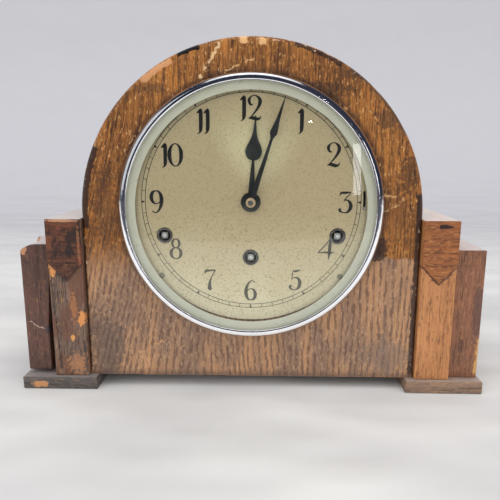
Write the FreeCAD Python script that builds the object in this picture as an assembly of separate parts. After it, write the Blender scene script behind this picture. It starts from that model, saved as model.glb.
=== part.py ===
import FreeCAD, Part
import math
import os

# Three-train mantel clock in an arched oak case with stepped wings.
# Sizes are in millimetres. X is across the front, Z is up, and Y runs from the front to the back.
# Depths are counted from the front panel's face: minus is towards the viewer, plus is into the case.

V = FreeCAD.Vector

# Sizes shared by many pieces
overrun = 2.0
seat_gap = 0.2
fit_gap = 0.02
running_gap = 0.05
side_gap = 0.3

# Sides drawn on small repeated holes, screws and bars
hole_sides = 8
screw_sides = 8
turned_sides = 12

# Case: front panel, bent shell, base and back
half_width = 116.0
foot_height = 9.0
straight_side = 115.2
panel_thickness = 12.0
edge_round = 3.0
case_depth = 128.0
shell_thickness = 5.0
base_thickness = 10.0
back_thickness = 8.0

# Stepped wings and feet
pilaster_width = 24.0
pilaster_height = 113.4
pilaster_proud = 3.2
pilaster_depth = 104.0
tongue_thickness = 1.2
tongue_shoulder = 30.5
tongue_point = 12.6
end_block_width = 21.0
end_block_height = 92.7
end_block_set_back = 0.9
end_block_depth = 98.0
loose_block_lift = 2.5
chip_width = 4.5
chip_height = 5.5
chip_depth = 30.0
foot_inner_lap = 6.6
foot_outer_proud = 2.0
foot_front_proud = 6.5
foot_depth = 108.0

# Bezel with its glass and sight ring
bezel_rise = 119.9
bezel_radius = 88.9
bezel_height = 7.9
bezel_shoulder = 2.9
bezel_sheet = 0.8
sight_radius = 83.0
bezel_shoulder_share = 0.72
bezel_collar_gap = 1.2
bezel_collar_end = 3.6
glass_gap = 0.5
glass_thickness = 1.5
glass_crown = 8.0
slip_inner_radius = 77.0
slip_front = 4.1
slip_thickness = 0.5

# Bezel hinge, hidden under the rim at three o'clock
bezel_pin_inset = 1.4
bezel_pin_front = 2.2
bezel_knuckle_radius = 1.1
bezel_pin_radius = 0.6
bezel_knuckle_half = 2.8
bezel_hinge_half = 6.0
bezel_relief_half = 16.0
bezel_relief_depth = 1.5
bezel_leaf = 0.7

# Dial
hands_rise = 5.3
panel_hole_radius = 73.0
dial_radius = 82.4
dial_thickness = 1.0
dial_centre_hole = 5.0
dial_screw_circle = 80.0
dial_screw_angle = 129.8
dial_screw_head = 2.0
dial_screw_head_height = 0.9
dial_screw_shank = 1.2
dial_screw_length = 8.0
grommet_bore = 3.9
grommet_flange = 5.5
grommet_flange_height = 0.6
slot_radius = 76.0
slot_width = 1.8
slot_top_angle = 84.0
slot_bottom_angle = 94.0
slot_steps = 4

# Chime and silent lever
lever_angle = 92.8
lever_depth = 3.0
lever_thickness = 1.0
lever_width = 5.0
lever_ring = 3.0
lever_pin_radius = 0.7
lever_pin_front = 2.6
lever_notch_width = 20.0
lever_notch_reach = 3.0

# Hands
hour_hand_length = 56.5
hour_hand_angle = 3.2
hour_hand_front = 2.4
minute_hand_length = 71.8
minute_hand_angle = 18.1
minute_hand_front = 5.2
hand_thickness = 0.4
hour_hub_radius = 6.6
minute_hub_radius = 5.2
nut_radius = 3.3
nut_height = 2.6
centre_arbor_radius = 1.45
cannon_pipe_radius = 2.3
hour_pipe_wall = 0.85
hour_hand_shares = ((0.028, 0.08), (0.018, 0.53), (0.055, 0.60), (0.091, 0.67), (0.060, 0.74), (0.014, 0.82))
minute_hand_shares = ((0.021, 0.06), (0.011, 0.62), (0.033, 0.71), (0.010, 0.84))
hand_tip_share = 0.004

# Movement frame
spacer_length = 6.0
spacer_radius = 4.0
plate_thickness = 2.0
plate_space = 32.0
plate_half_width = 88.0
plate_top = 46.0
plate_bottom = 66.0
plate_corner = 14.0
pillar_radius = 3.5
pillar_inset_x = 6.0
pillar_inset_top = 10.0
pillar_inset_bottom = 6.0
mount_inset_x = 6.0
mount_inset_top = 24.0
mount_inset_bottom = 20.0
screw_head_radius = 3.0
screw_head_height = 1.6
screw_shank_radius = 1.6
screw_bite = 7.0
nut_corner_radius = 3.4
nut_thickness = 2.4
pivot_radius = 1.2

# Winding arbors, barrels and their trains
side_arbor_x = 58.8
side_arbor_drop = 23.0
going_arbor_drop = 38.0
winding_radius = 3.5
winding_square = 4.5
winding_recess = 0.6
going_barrel_radius = 23.0
side_barrel_radius = 22.0
barrel_end_gap = 2.0
barrel_length = 22.0
great_wheel_thickness = 2.5
going_wheel_teeth = 42
centre_pinion_leaves = 7
side_wheel_teeth = 36
side_pinion_leaves = 6
second_arbor_x = 56.0
second_arbor_drop = 54.0
second_wheel_radius = 16.0
arbor_radius = 1.4
wheel_thickness = 1.2
wheel_rim_share = 0.80
hub_share = 2.6
wheel_spokes = 5
spoke_width = 2.4
pin_count = 6
pin_radius = 0.6
pin_length = 3.0

# Ratchets and clicks
ratchet_radius = 8.0
ratchet_teeth = 16
ratchet_tooth = 1.1
ratchet_thickness = 1.5
click_length = 9.0
click_width = 2.6
click_gap = 0.25
click_angle = 35.0
click_lean = 60.0

# Going train
centre_wheel_teeth = 42
third_pinion_leaves = 7
third_wheel_teeth = 36
escape_pinion_leaves = 6
third_arbor_x = 17.0
third_arbor_rise = 16.7
escape_arbor_rise = 25.6
escape_radius = 11.0
escape_teeth = 30
escape_tooth = 2.0
escape_lean_share = 0.2
third_wheel_depth = 13.0
escape_wheel_depth = 21.0
anchor_rise = 14.0
anchor_gap = 0.9
anchor_thickness = 2.0
anchor_span_angle = 45.0
anchor_heel_angle = 6.4
anchor_arm = 2.4
pallet_width = 1.6
tooth_addendum_share = 0.72
tooth_dedendum_share = 1.0
tooth_root_share = 0.62
leaf_tip_share = 0.14

# Motion work behind the dial
motion_distance = 12.0
motion_angle = 60.0
cannon_teeth = 8
minute_wheel_teeth = 24
minute_pinion_leaves = 6
hour_wheel_teeth = 24
motion_gap = 1.0
motion_thickness = 1.2

# Pendulum and its cock
cock_half_span = 14.0
cock_post_radius = 2.5
cock_reach = 6.0
cock_bar = 2.5
cock_height = 7.0
suspension_block = 7.0
suspension_half_width = 2.5
spring_thickness = 0.3
spring_width = 3.0
spring_length = 10.0
rod_radius = 0.9
bob_drop = 94.0
bob_radius = 18.0
bob_thickness = 8.0
bob_edge = 2.0
nut_drop = 3.0
rating_nut_radius = 4.0
rating_nut_height = 3.0
crutch_drop = 26.0
crutch_wire = 0.8
fork_gap = 0.25

# Chime drum, hammers and rods
drum_radius = 8.0
drum_pin = 2.5
hammer_count = 4
hammer_pitch = 9.0
hammer_start = 24.5
hammer_arbor_x = 40.0
hammer_arbor_drop = 70.0
hammer_arbor_radius = 2.0
hammer_hub_wall = 1.4
hammer_hub_width = 6.0
hammer_reach = 34.0
hammer_arm = 2.4
hammer_head_radius = 3.8
hammer_head_length = 13.0
hammer_head_drop = 5.0
hammer_clearance = 1.5
hammer_tail_gap = 0.6
frame_post_radius = 2.2
frame_strap = 2.0
frame_strap_width = 9.0
rod_thickness = 3.0
rod_socket = 10.0
longest_rod = 150.0
rod_step = 10.0
gong_block_length = 40.0
gong_block_height = 31.0
gong_block_margin = 6.0
gong_block_x = 52.0
rod_height_share = 0.72

# Back door
door_half_width = 68.0
door_gap = 0.8
door_bottom = 23.0
door_slot_width = 7.0
door_slot_height = 52.0
door_slot_pitch = 18.0
door_slot_count = 5
door_slot_rise = 16.0
door_leaf = 0.8
door_leaf_width = 11.0
door_hinge_half = 14.0
door_knuckle_radius = 1.6
door_pin_radius = 0.8
door_hinge_height = 36.0
knob_length = 12.0
knob_radius = 6.0
knob_stem_radius = 2.6
knob_inset = 10.0

# Places worked out from the sizes above
glass_reach = bezel_height - bezel_sheet - glass_gap + glass_crown
face_y = (glass_reach - case_depth - knob_length) / 2
arch_z = foot_height + straight_side
bezel_z = foot_height + bezel_rise
hands_z = bezel_z + hands_rise
plate_front = panel_thickness + spacer_length
space_front = plate_front + plate_thickness
space_back = space_front + plate_space
plate_back = space_back + plate_thickness
pendulum_depth = plate_back + cock_reach + cock_bar + suspension_block / 2


def deep(depth):
    """Y of a depth counted from the front panel's face."""
    return face_y + depth


def box(x0, x1, d0, d1, z0, z1):
    return Part.makeBox(x1 - x0, d1 - d0, z1 - z0, V(x0, deep(d0), z0))


def rod(x, z, radius, d0, d1):
    """Round bar along Y."""
    return Part.makeCylinder(radius, d1 - d0, V(x, deep(d0), z), V(0, 1, 0))


def bar(x, z, radius, sides, d0, d1):
    """Bar along Y with flat sides, its corners on the radius."""
    return plate([polar(x, z, radius, (side + 0.5) * 360 / sides) for side in range(sides)], d0, d1)


def drill(x, z, radius, d0, d1, sides=hole_sides):
    """Cutter for a hole: a few flat sides that just clear a shaft of the radius."""
    return bar(x, z, radius / math.cos(math.pi / sides), sides, d0 - overrun, d1 + overrun)


def upright(x, depth, radius, sides, z0, z1):
    """Bar along Z with flat sides, its corners on the radius."""
    corners = [polar(x, deep(depth), radius, (side + 0.5) * 360 / sides) for side in range(sides)]
    spots = [V(across, along, z0) for across, along in corners]
    return Part.Face(Part.makePolygon(spots + spots[:1])).extrude(V(0, 0, z1 - z0))


def plate(points, d0, d1):
    """Flat plate along Y with straight edges, from points in X and Z."""
    corners = [V(x, deep(d0), z) for x, z in points]
    outline = Part.makePolygon(corners + corners[:1])
    return Part.Face(outline).extrude(V(0, d1 - d0, 0))


def turned(profile, x, z):
    """Solid of revolution about a Y axis from edges drawn as radius and depth."""
    edges = []
    for piece in profile:
        ends = [V(radius, deep(depth), 0) for radius, depth in piece]
        if len(ends) == 2:
            edges.append(Part.LineSegment(ends[0], ends[1]).toShape())
        else:
            edges.append(Part.Arc(ends[0], ends[1], ends[2]).toShape())
    face = Part.Face(Part.Wire(edges))
    solid = face.revolve(V(0, 0, 0), V(0, 1, 0), 360)
    solid.translate(V(x, 0, z))
    return solid


def dome(radius, edge_depth, rise):
    """Arc of a sphere from the axis out to an edge; a minus rise domes towards the back."""
    sphere = (radius * radius + rise * rise) / (2 * rise)
    half_way = sphere - math.copysign(math.sqrt(sphere * sphere - radius * radius / 4), sphere)
    apex = edge_depth - rise
    return [(0, apex), (radius / 2, apex + half_way), (radius, edge_depth)]


def lines(points):
    """Closed run of straight edges through points, for a turned profile."""
    return [(points[i], points[(i + 1) % len(points)]) for i in range(len(points))]


def polar(x, z, radius, angle):
    """Point at a clock angle: degrees clockwise from twelve."""
    turn = math.radians(angle)
    return x + radius * math.sin(turn), z + radius * math.cos(turn)


def bearing(x, z, to_x, to_z):
    return math.degrees(math.atan2(to_x - x, to_z - z))


def arch_face(half, bottom, spring, depth):
    """Face with a flat foot, straight sides and a half-round top."""
    left = V(-half, deep(depth), bottom)
    right = V(half, deep(depth), bottom)
    left_spring = V(-half, deep(depth), spring)
    right_spring = V(half, deep(depth), spring)
    crown = V(0, deep(depth), spring + half)
    edges = [Part.LineSegment(left, right).toShape(), Part.LineSegment(right, right_spring).toShape()]
    edges.append(Part.Arc(right_spring, crown, left_spring).toShape())
    edges.append(Part.LineSegment(left_spring, left).toShape())
    return Part.Face(Part.Wire(edges))


def arch(half, bottom, spring, d0, d1):
    return arch_face(half, bottom, spring, d0).extrude(V(0, d1 - d0, 0))


def toothed(teeth, radius, x, z, phase, tip_share):
    """Outline of a wheel or pinion; one tooth points along the clock angle phase."""
    module = 2 * radius / teeth
    tip = radius + tooth_addendum_share * module
    root = radius - tooth_dedendum_share * module
    pitch = 360 / teeth
    root_half = pitch * tooth_root_share / 2
    tip_half = pitch * tip_share / 2
    points = []
    for tooth in range(teeth):
        middle = phase + tooth * pitch
        points.append(polar(x, z, root, middle - root_half))
        points.append(polar(x, z, tip, middle - tip_half))
        if tip_half:
            points.append(polar(x, z, tip, middle + tip_half))
        points.append(polar(x, z, root, middle + root_half))
    return points


def wheel(teeth, radius, x, z, phase, d0, d1):
    """Wheel with pointed teeth, as clock wheels have."""
    return plate(toothed(teeth, radius, x, z, phase, 0), d0, d1)


def pinion(leaves, radius, x, z, phase, d0, d1):
    return plate(toothed(leaves, radius, x, z, phase, leaf_tip_share), d0, d1)


def crossed_wheel(teeth, radius, hub, x, z, phase, d0, d1):
    """Wheel crossed out between its rim and hub, leaving straight spokes."""
    windows = []
    outer = radius * wheel_rim_share
    half_pitch = 180 / wheel_spokes
    outer_half = half_pitch - math.degrees(spoke_width / 2 / outer)
    inner_half = half_pitch - math.degrees(spoke_width / 2 / hub)
    for spoke in range(wheel_spokes):
        middle = phase + (2 * spoke + 1) * half_pitch
        window = [polar(x, z, hub, middle - inner_half), polar(x, z, outer, middle - outer_half)]
        window += [polar(x, z, outer, middle), polar(x, z, outer, middle + outer_half)]
        window.append(polar(x, z, hub, middle + inner_half))
        windows.append(plate(window, d0 - overrun, d1 + overrun))
    return wheel(teeth, radius, x, z, phase, d0, d1).cut(windows)


def solid_of(shape):
    """The single solid of a fused shape, with its seams merged."""
    return shape.removeSplitter().Solids[0]


def front_panel():
    panel = arch(half_width, foot_height, arch_z, 0, panel_thickness)
    rounded = []
    for edge in panel.Edges:
        box_of = edge.BoundBox
        on_front = box_of.YMax < deep(0) + seat_gap
        if on_front and box_of.ZMax > foot_height + straight_side / 2:
            rounded.append(edge)
    panel = panel.makeFillet(edge_round, rounded)
    panel = panel.cut(rod(0, bezel_z, panel_hole_radius, -overrun, panel_thickness + overrun))
    notch_far = slot_radius + lever_notch_reach
    notch_low = hands_z - lever_notch_width / 2
    notch_high = notch_low + lever_notch_width
    notch = box(slot_radius / 2, notch_far, -overrun, panel_thickness + overrun, notch_low, notch_high)
    panel = panel.cut(notch)
    for x, z in dial_screw_places():
        panel = panel.cut(drill(x, z, dial_screw_shank + running_gap, 0, dial_screw_length - overrun))
    for x, z in mount_places():
        hole_start = panel_thickness - screw_bite - seat_gap + overrun
        panel = panel.cut(drill(x, z, screw_shank_radius + running_gap, hole_start, panel_thickness))
    return panel


def case_shell():
    end = case_depth - back_thickness
    outer = arch(half_width, foot_height, arch_z, panel_thickness, end)
    inner_half = half_width - shell_thickness
    inner = arch(inner_half, foot_height - overrun, arch_z, panel_thickness - overrun, end + overrun)
    return outer.cut(inner)


def base_board():
    half = half_width - shell_thickness
    base_top = foot_height + base_thickness
    return box(-half, half, panel_thickness, case_depth - back_thickness, foot_height, base_top)


def back_frame():
    frame = arch(half_width, foot_height, arch_z, case_depth - back_thickness, case_depth)
    opening_half = door_half_width + door_gap
    low = foot_height + door_bottom - door_gap
    opening = arch(opening_half, low, arch_z, case_depth - back_thickness - overrun, case_depth + overrun)
    return frame.cut(opening)


def pilaster(side):
    inner = half_width
    outer = half_width + pilaster_width
    x0, x1 = sorted((side * inner, side * outer))
    return box(x0, x1, -pilaster_proud, pilaster_depth, foot_height, foot_height + pilaster_height)


def tongue(side):
    """Pointed overlay on the pilaster's face, its shoulders and point below a full-width band."""
    top = foot_height + pilaster_height
    shoulder = top - tongue_shoulder
    inner = side * half_width
    outer = side * (half_width + pilaster_width)
    outline = [(inner, top), (outer, top), (outer, shoulder)]
    outline.append(((inner + outer) / 2, shoulder - tongue_point))
    outline.append((inner, shoulder))
    return plate(outline, -pilaster_proud - tongue_thickness, -pilaster_proud)


def end_block(side):
    """Outer step; the left one has worked loose, sits high and has lost its top front corner."""
    inner = side * (half_width + pilaster_width)
    outer = inner + side * end_block_width
    x0, x1 = sorted((inner, outer))
    lift = loose_block_lift if side < 0 else 0
    low = foot_height + lift
    block = box(x0, x1, end_block_set_back, end_block_depth, low, low + end_block_height)
    if side < 0:
        top = low + end_block_height
        chip_end = x0 + chip_width * 2
        chip = [(x0 - overrun, top + overrun), (chip_end, top + overrun), (chip_end, top)]
        chip.append((x0 + chip_width / 2, top - chip_height / 2))
        chip.append((x0, top - chip_height))
        chip.append((x0 - overrun, top - chip_height))
        block = block.cut(plate(chip, end_block_set_back - overrun, end_block_set_back + chip_depth))
    return block


def foot(side):
    inner = side * (half_width - foot_inner_lap)
    outer = side * (half_width + pilaster_width + end_block_width + foot_outer_proud)
    x0, x1 = sorted((inner, outer))
    return box(x0, x1, -foot_front_proud, foot_depth, 0, foot_height)


def rim_profile():
    """Hollow rolled section: outer skirt, rounded front, sight lip and inner collar."""
    collar_inner = sight_radius + bezel_collar_gap + seat_gap
    collar_outer = collar_inner + bezel_sheet
    skirt_inner = bezel_radius - bezel_sheet
    front = -bezel_height
    lip_back = front + bezel_sheet
    width = bezel_radius - sight_radius
    rise = bezel_height - bezel_shoulder
    bulge_radius = sight_radius + width * bezel_shoulder_share
    bulge_depth = -bezel_shoulder - rise * bezel_shoulder_share
    crest_radius = sight_radius + bezel_sheet
    start = (bezel_radius, -seat_gap)
    profile = [(start, (bezel_radius, -bezel_shoulder))]
    profile.append(((bezel_radius, -bezel_shoulder), (bulge_radius, bulge_depth), (crest_radius, front)))
    profile.append(((crest_radius, front), (sight_radius, front)))
    profile.append(((sight_radius, front), (sight_radius, lip_back)))
    profile.append(((sight_radius, lip_back), (collar_inner, lip_back)))
    profile.append(((collar_inner, lip_back), (collar_inner, -bezel_collar_end)))
    profile.append(((collar_inner, -bezel_collar_end), (collar_outer, -bezel_collar_end)))
    hollow_top = bulge_depth + bezel_sheet / 2
    profile.append(((collar_outer, -bezel_collar_end), (collar_outer, hollow_top)))
    profile.append(((collar_outer, hollow_top), (skirt_inner, -bezel_shoulder)))
    profile.append(((skirt_inner, -bezel_shoulder), (skirt_inner, -seat_gap)))
    profile.append(((skirt_inner, -seat_gap), start))
    return profile


def bezel_rim():
    """Rolled and chromed rim, relieved at the back where its hidden hinge sits."""
    rim = turned(rim_profile(), 0, bezel_z)
    pocket_half = bezel_hinge_half + bezel_pin_radius
    pocket_inner = sight_radius + bezel_collar_gap + seat_gap + bezel_sheet
    far = bezel_radius + overrun
    pocket_low = bezel_z - pocket_half
    pocket = box(pocket_inner, far, -bezel_collar_end, overrun, pocket_low, bezel_z + pocket_half)
    relief_low = bezel_z - bezel_relief_half
    relief = box(pocket_inner, far, -bezel_relief_depth, overrun, relief_low, bezel_z + bezel_relief_half)
    return rim.cut(pocket).cut(relief)


def glass_edge():
    """Radius, front depth and back depth of the glass where it drops into the rim's collar."""
    front = -(bezel_height - bezel_sheet - glass_gap)
    return sight_radius + bezel_collar_gap, front, front + glass_thickness


def bezel_glass():
    """Domed glass of even thickness."""
    edge, front, back = glass_edge()
    outside = dome(edge, front, glass_crown)
    inside = dome(edge, back, glass_crown)
    profile = [outside, (outside[2], inside[2]), inside[::-1], (inside[0], outside[0])]
    return turned(profile, 0, bezel_z)


def bezel_slip():
    """Sloping sight ring between the glass and the dial."""
    edge, front, back = glass_edge()
    outer_front = back + seat_gap
    points = [(slip_inner_radius, -slip_front), (edge, outer_front), (edge, outer_front + slip_thickness)]
    points.append((slip_inner_radius, slip_thickness - slip_front))
    return turned(lines(points), 0, bezel_z)


def bezel_pin_x():
    return bezel_radius - bezel_pin_inset


def pin_rod(x, depth, radius, z0, z1):
    return Part.makeCylinder(radius, z1 - z0, V(x, deep(depth), z0))


def bezel_hinge_leaf():
    """Moving leaf: a middle knuckle and a cranked strap soldered inside the rim."""
    x = bezel_pin_x()
    low = bezel_z - bezel_knuckle_half
    high = bezel_z + bezel_knuckle_half
    barrel = upright(x, -bezel_pin_front, bezel_knuckle_radius, turned_sides, low, high)
    collar = sight_radius + bezel_collar_gap + seat_gap + bezel_sheet + seat_gap
    strap_back = -bezel_pin_front - bezel_knuckle_radius / 3
    strap_front = strap_back - bezel_leaf
    strap = box(collar, x, strap_front, strap_back, low, high)
    crank = box(collar, collar + bezel_leaf, strap_front - 2 * bezel_leaf, strap_back, low, high)
    leaf = barrel.fuse([strap, crank])
    bore = pin_rod(x, -bezel_pin_front, bezel_pin_radius + running_gap, low - overrun, high + overrun)
    return solid_of(leaf.cut(bore))


def bezel_hinge_plate():
    """Fixed leaf on the panel's face, with two knuckles and the pin through all three."""
    x = bezel_pin_x()
    low = bezel_z - bezel_hinge_half
    high = bezel_z + bezel_hinge_half
    inner = dial_radius + side_gap
    fitted = [pin_rod(x, -bezel_pin_front, bezel_pin_radius, low, high)]
    clear_half = bezel_knuckle_half + side_gap
    for start, end in ((low, bezel_z - clear_half), (bezel_z + clear_half, high)):
        fitted.append(upright(x, -bezel_pin_front, bezel_knuckle_radius, turned_sides, start, end))
        fitted.append(box(x - bezel_pin_radius, x + bezel_pin_radius, -bezel_pin_front, 0, start, end))
    return solid_of(box(inner, x, -bezel_leaf, 0, low, high).fuse(fitted))


def winding_places():
    """Going, striking and chiming arbors: the low middle one, then left and right."""
    side_z = hands_z - side_arbor_drop
    going = (0, hands_z - going_arbor_drop)
    return {"going": going, "strike": (-side_arbor_x, side_z), "chime": (side_arbor_x, side_z)}


def dial_screw_places():
    angles = (dial_screw_angle, -dial_screw_angle, 180 - dial_screw_angle, dial_screw_angle - 180)
    return [polar(0, hands_z, dial_screw_circle, angle) for angle in angles]


def slot_cutter(d0, d1):
    """Curved slot about the hands' centre, its ends brought to a blunt point."""
    half = slot_width / 2
    end_turn = math.degrees(half / slot_radius)
    first = slot_top_angle + end_turn
    step = (slot_bottom_angle - end_turn - first) / slot_steps
    angles = [first + index * step for index in range(slot_steps + 1)]
    outline = [polar(0, hands_z, slot_radius, slot_top_angle)]
    outline += [polar(0, hands_z, slot_radius + half, angle) for angle in angles]
    outline.append(polar(0, hands_z, slot_radius, slot_bottom_angle))
    outline += [polar(0, hands_z, slot_radius - half, angle) for angle in reversed(angles)]
    return plate(outline, d0 - overrun, d1 + overrun)


def dial_plate():
    front = -dial_thickness
    cutters = [drill(0, hands_z, dial_centre_hole, front, 0, turned_sides), slot_cutter(front, 0)]
    cutters += [drill(x, z, grommet_bore, front, 0, turned_sides) for x, z in winding_places().values()]
    cutters += [drill(x, z, dial_screw_shank + running_gap, front, 0) for x, z in dial_screw_places()]
    return rod(0, hands_z, dial_radius, front, 0).cut(cutters)


def dial_screws():
    screws = []
    for x, z in dial_screw_places():
        head_front = -dial_thickness - dial_screw_head_height
        head = bar(x, z, dial_screw_head, screw_sides, head_front, -dial_thickness)
        shank = bar(x, z, dial_screw_shank, screw_sides, -dial_thickness, dial_screw_length - dial_thickness)
        screws.append(solid_of(head.fuse(shank)))
    return Part.makeCompound(screws)


def winding_grommets():
    rings = []
    for x, z in winding_places().values():
        flange_front = -dial_thickness - grommet_flange_height
        flange = bar(x, z, grommet_flange, turned_sides, flange_front, -dial_thickness)
        rings.append(flange.cut(drill(x, z, grommet_bore, flange_front, -dial_thickness, turned_sides)))
    return Part.makeCompound(rings)


def hour_pipe_radius():
    return cannon_pipe_radius + running_gap + hour_pipe_wall


def chime_silent_lever():
    """Long lever on the hour pipe; its pin comes out through the dial's curved slot."""
    bore = hour_pipe_radius() + side_gap
    back = lever_depth + lever_thickness
    ring = bar(0, hands_z, bore + lever_ring, turned_sides, lever_depth, back)
    ring = ring.cut(rod(0, hands_z, bore, lever_depth - overrun, back + overrun))
    reach = slot_radius + lever_pin_radius
    arm_low = hands_z + bore + lever_ring / 2
    half = lever_width / 2
    arm = box(-half, half, lever_depth, back, arm_low, hands_z + reach)
    pin_back = lever_depth + lever_thickness / 2
    pin = bar(0, hands_z + slot_radius, lever_pin_radius, screw_sides, -lever_pin_front, pin_back)
    lever = solid_of(ring.fuse([arm, pin]))
    lever.rotate(V(0, 0, hands_z), V(0, 1, 0), lever_angle)
    return lever


def hand_blank(outline, hub, hole, angle, front):
    """Flat hand pressed from steel: a shaped finger on a round hub."""
    d0 = -front - hand_thickness
    finger = plate([(x, hands_z + z) for x, z in outline], d0, -front)
    blank = finger.fuse(rod(0, hands_z, hub, d0, -front))
    blank = solid_of(blank.cut(drill(0, hands_z, hole, d0, -front, turned_sides)))
    blank.rotate(V(0, 0, hands_z), V(0, 1, 0), angle)
    return blank


def mirrored(half_outline):
    """Full outline from half widths and shares of the hand's length."""
    right = [(width, height) for width, height in half_outline]
    left = [(-width, height) for width, height in reversed(half_outline)]
    return right + left


def hour_hand():
    """Spade hand with a teardrop head."""
    half = [(width * hour_hand_length, height * hour_hand_length) for width, height in hour_hand_shares]
    half.append((hand_tip_share * hour_hand_length, hour_hand_length))
    hole = hour_pipe_radius() + fit_gap
    return hand_blank(mirrored(half), hour_hub_radius, hole, hour_hand_angle, hour_hand_front)


def minute_hand():
    """Spade hand with a slim dart head."""
    half = [(width * minute_hand_length, height * minute_hand_length) for width, height in minute_hand_shares]
    half.append((hand_tip_share * minute_hand_length, minute_hand_length))
    hole = cannon_pipe_radius + fit_gap
    return hand_blank(mirrored(half), minute_hub_radius, hole, minute_hand_angle, minute_hand_front)


def nut_front():
    return minute_hand_front + hand_thickness + nut_height


def hand_nut():
    back = -minute_hand_front - hand_thickness
    hole = drill(0, hands_z, centre_arbor_radius + running_gap, -nut_front(), back)
    return rod(0, hands_z, nut_radius, -nut_front(), back).cut(hole)


def motion_centre():
    return polar(0, hands_z, motion_distance, motion_angle)


def motion_planes():
    """Depths behind the dial: the cannon and minute wheel layer, then the hour wheel layer."""
    minute_back = plate_front - motion_gap
    minute_front = minute_back - motion_thickness
    hour_back = minute_front - motion_gap
    hour_front = hour_back - motion_thickness
    return minute_back, minute_front, hour_back, hour_front


def split(distance, first, second):
    """Pitch radii of two wheels in mesh, from their centre distance and teeth."""
    return distance * first / (first + second), distance * second / (first + second)


def cannon_pinion():
    """Pipe that carries the minute hand, with the leaves that drive the minute wheel."""
    minute_back, minute_front, hour_back, hour_front = motion_planes()
    radius = split(motion_distance, cannon_teeth, minute_wheel_teeth)[0]
    phase = motion_angle + 180 / cannon_teeth
    leaves = pinion(cannon_teeth, radius, 0, hands_z, phase, minute_front - motion_gap / 4, minute_back)
    pipe_front = -minute_hand_front - hand_thickness
    pipe = rod(0, hands_z, cannon_pipe_radius, pipe_front, minute_back + motion_gap / 2)
    bore = drill(0, hands_z, centre_arbor_radius + running_gap, pipe_front, minute_back)
    return solid_of(leaves.fuse(pipe).cut(bore))


def minute_wheel():
    minute_back, minute_front, hour_back, hour_front = motion_planes()
    x, z = motion_centre()
    wheel_radius = split(motion_distance, minute_wheel_teeth, cannon_teeth)[0]
    pinion_radius = split(motion_distance, minute_pinion_leaves, hour_wheel_teeth)[0]
    towards = motion_angle + 180
    disc = wheel(minute_wheel_teeth, wheel_radius, x, z, towards, minute_front, minute_back)
    phase = towards + 180 / minute_pinion_leaves
    leaves_front = hour_front - motion_gap / 4
    leaves = pinion(minute_pinion_leaves, pinion_radius, x, z, phase, leaves_front, minute_front)
    bore = drill(x, z, pivot_radius + running_gap, hour_front, minute_back)
    return solid_of(disc.fuse(leaves).cut(bore))


def hour_wheel():
    minute_back, minute_front, hour_back, hour_front = motion_planes()
    radius = split(motion_distance, hour_wheel_teeth, minute_pinion_leaves)[0]
    disc = wheel(hour_wheel_teeth, radius, 0, hands_z, motion_angle, hour_front, hour_back)
    bore_radius = cannon_pipe_radius + running_gap
    pipe = rod(0, hands_z, hour_pipe_radius(), -hour_hand_front - hand_thickness, hour_back)
    bore = drill(0, hands_z, bore_radius, -hour_hand_front, hour_back, turned_sides)
    return solid_of(disc.fuse(pipe).cut(bore))


def pillar_places():
    x = plate_half_width - pillar_inset_x
    top = hands_z + plate_top - pillar_inset_top
    bottom = hands_z - plate_bottom + pillar_inset_bottom
    return [(-x, top), (x, top), (-x, bottom), (x, bottom)]


def mount_places():
    x = plate_half_width - mount_inset_x
    top = hands_z + plate_top - mount_inset_top
    bottom = hands_z - plate_bottom + mount_inset_bottom
    return [(-x, top), (x, top), (-x, bottom), (x, bottom)]


def third_place():
    return -third_arbor_x, hands_z + third_arbor_rise


def escape_place():
    return 0, hands_z + escape_arbor_rise


def anchor_place():
    return 0, hands_z + escape_arbor_rise + anchor_rise


def second_place(side):
    return side * second_arbor_x, hands_z - second_arbor_drop


def pivot_places():
    """Small pivot holes that both plates share."""
    return [third_place(), escape_place(), second_place(-1), second_place(1)]


def plate_blank(d0, d1):
    top = hands_z + plate_top
    bottom = hands_z - plate_bottom
    half = plate_half_width
    cut = plate_corner
    outline = [(-half, bottom), (half, bottom), (half, top - cut), (half - cut, top)]
    outline += [(cut - half, top), (-half, top - cut)]
    return plate(outline, d0, d1)


def front_plate():
    """Front movement plate with the stud that the minute wheel turns on."""
    d0 = plate_front
    d1 = space_front
    holes = [drill(0, hands_z, centre_arbor_radius + running_gap, d0, d1)]
    holes += [drill(x, z, winding_radius + running_gap, d0, d1, turned_sides)
              for x, z in winding_places().values()]
    holes += [drill(x, z, pivot_radius + running_gap, d0, d1) for x, z in pivot_places() + [anchor_place()]]
    holes += [drill(x, z, screw_shank_radius + running_gap, d0, d1)
              for x, z in pillar_places() + mount_places()]
    x, z = motion_centre()
    stud_front = motion_planes()[3] - motion_gap / 2
    return solid_of(plate_blank(d0, d1).cut(holes).fuse(rod(x, z, pivot_radius, stud_front, d0)))


def back_plate():
    d0 = space_back
    d1 = plate_back
    pivots = [(0, hands_z)] + pivot_places() + list(winding_places().values())
    holes = [drill(x, z, pivot_radius + running_gap, d0, d1) for x, z in pivots]
    holes += [drill(x, z, screw_shank_radius + running_gap, d0, d1) for x, z in pillar_places()]
    x, z = anchor_place()
    holes.append(drill(x, z, arbor_radius + side_gap, d0, d1))
    return plate_blank(d0, d1).cut(holes)


def plate_pillars():
    """Turned pillars, riveted through the front plate and threaded behind the back plate."""
    bars = []
    for x, z in pillar_places():
        post = bar(x, z, pillar_radius, screw_sides, space_front, space_back)
        rivet = bar(x, z, screw_shank_radius, screw_sides, plate_front - side_gap, space_front)
        thread = bar(x, z, screw_shank_radius, screw_sides, space_back, plate_back + nut_thickness + side_gap)
        bars.append(solid_of(post.fuse([rivet, thread])))
    return Part.makeCompound(bars)


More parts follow.
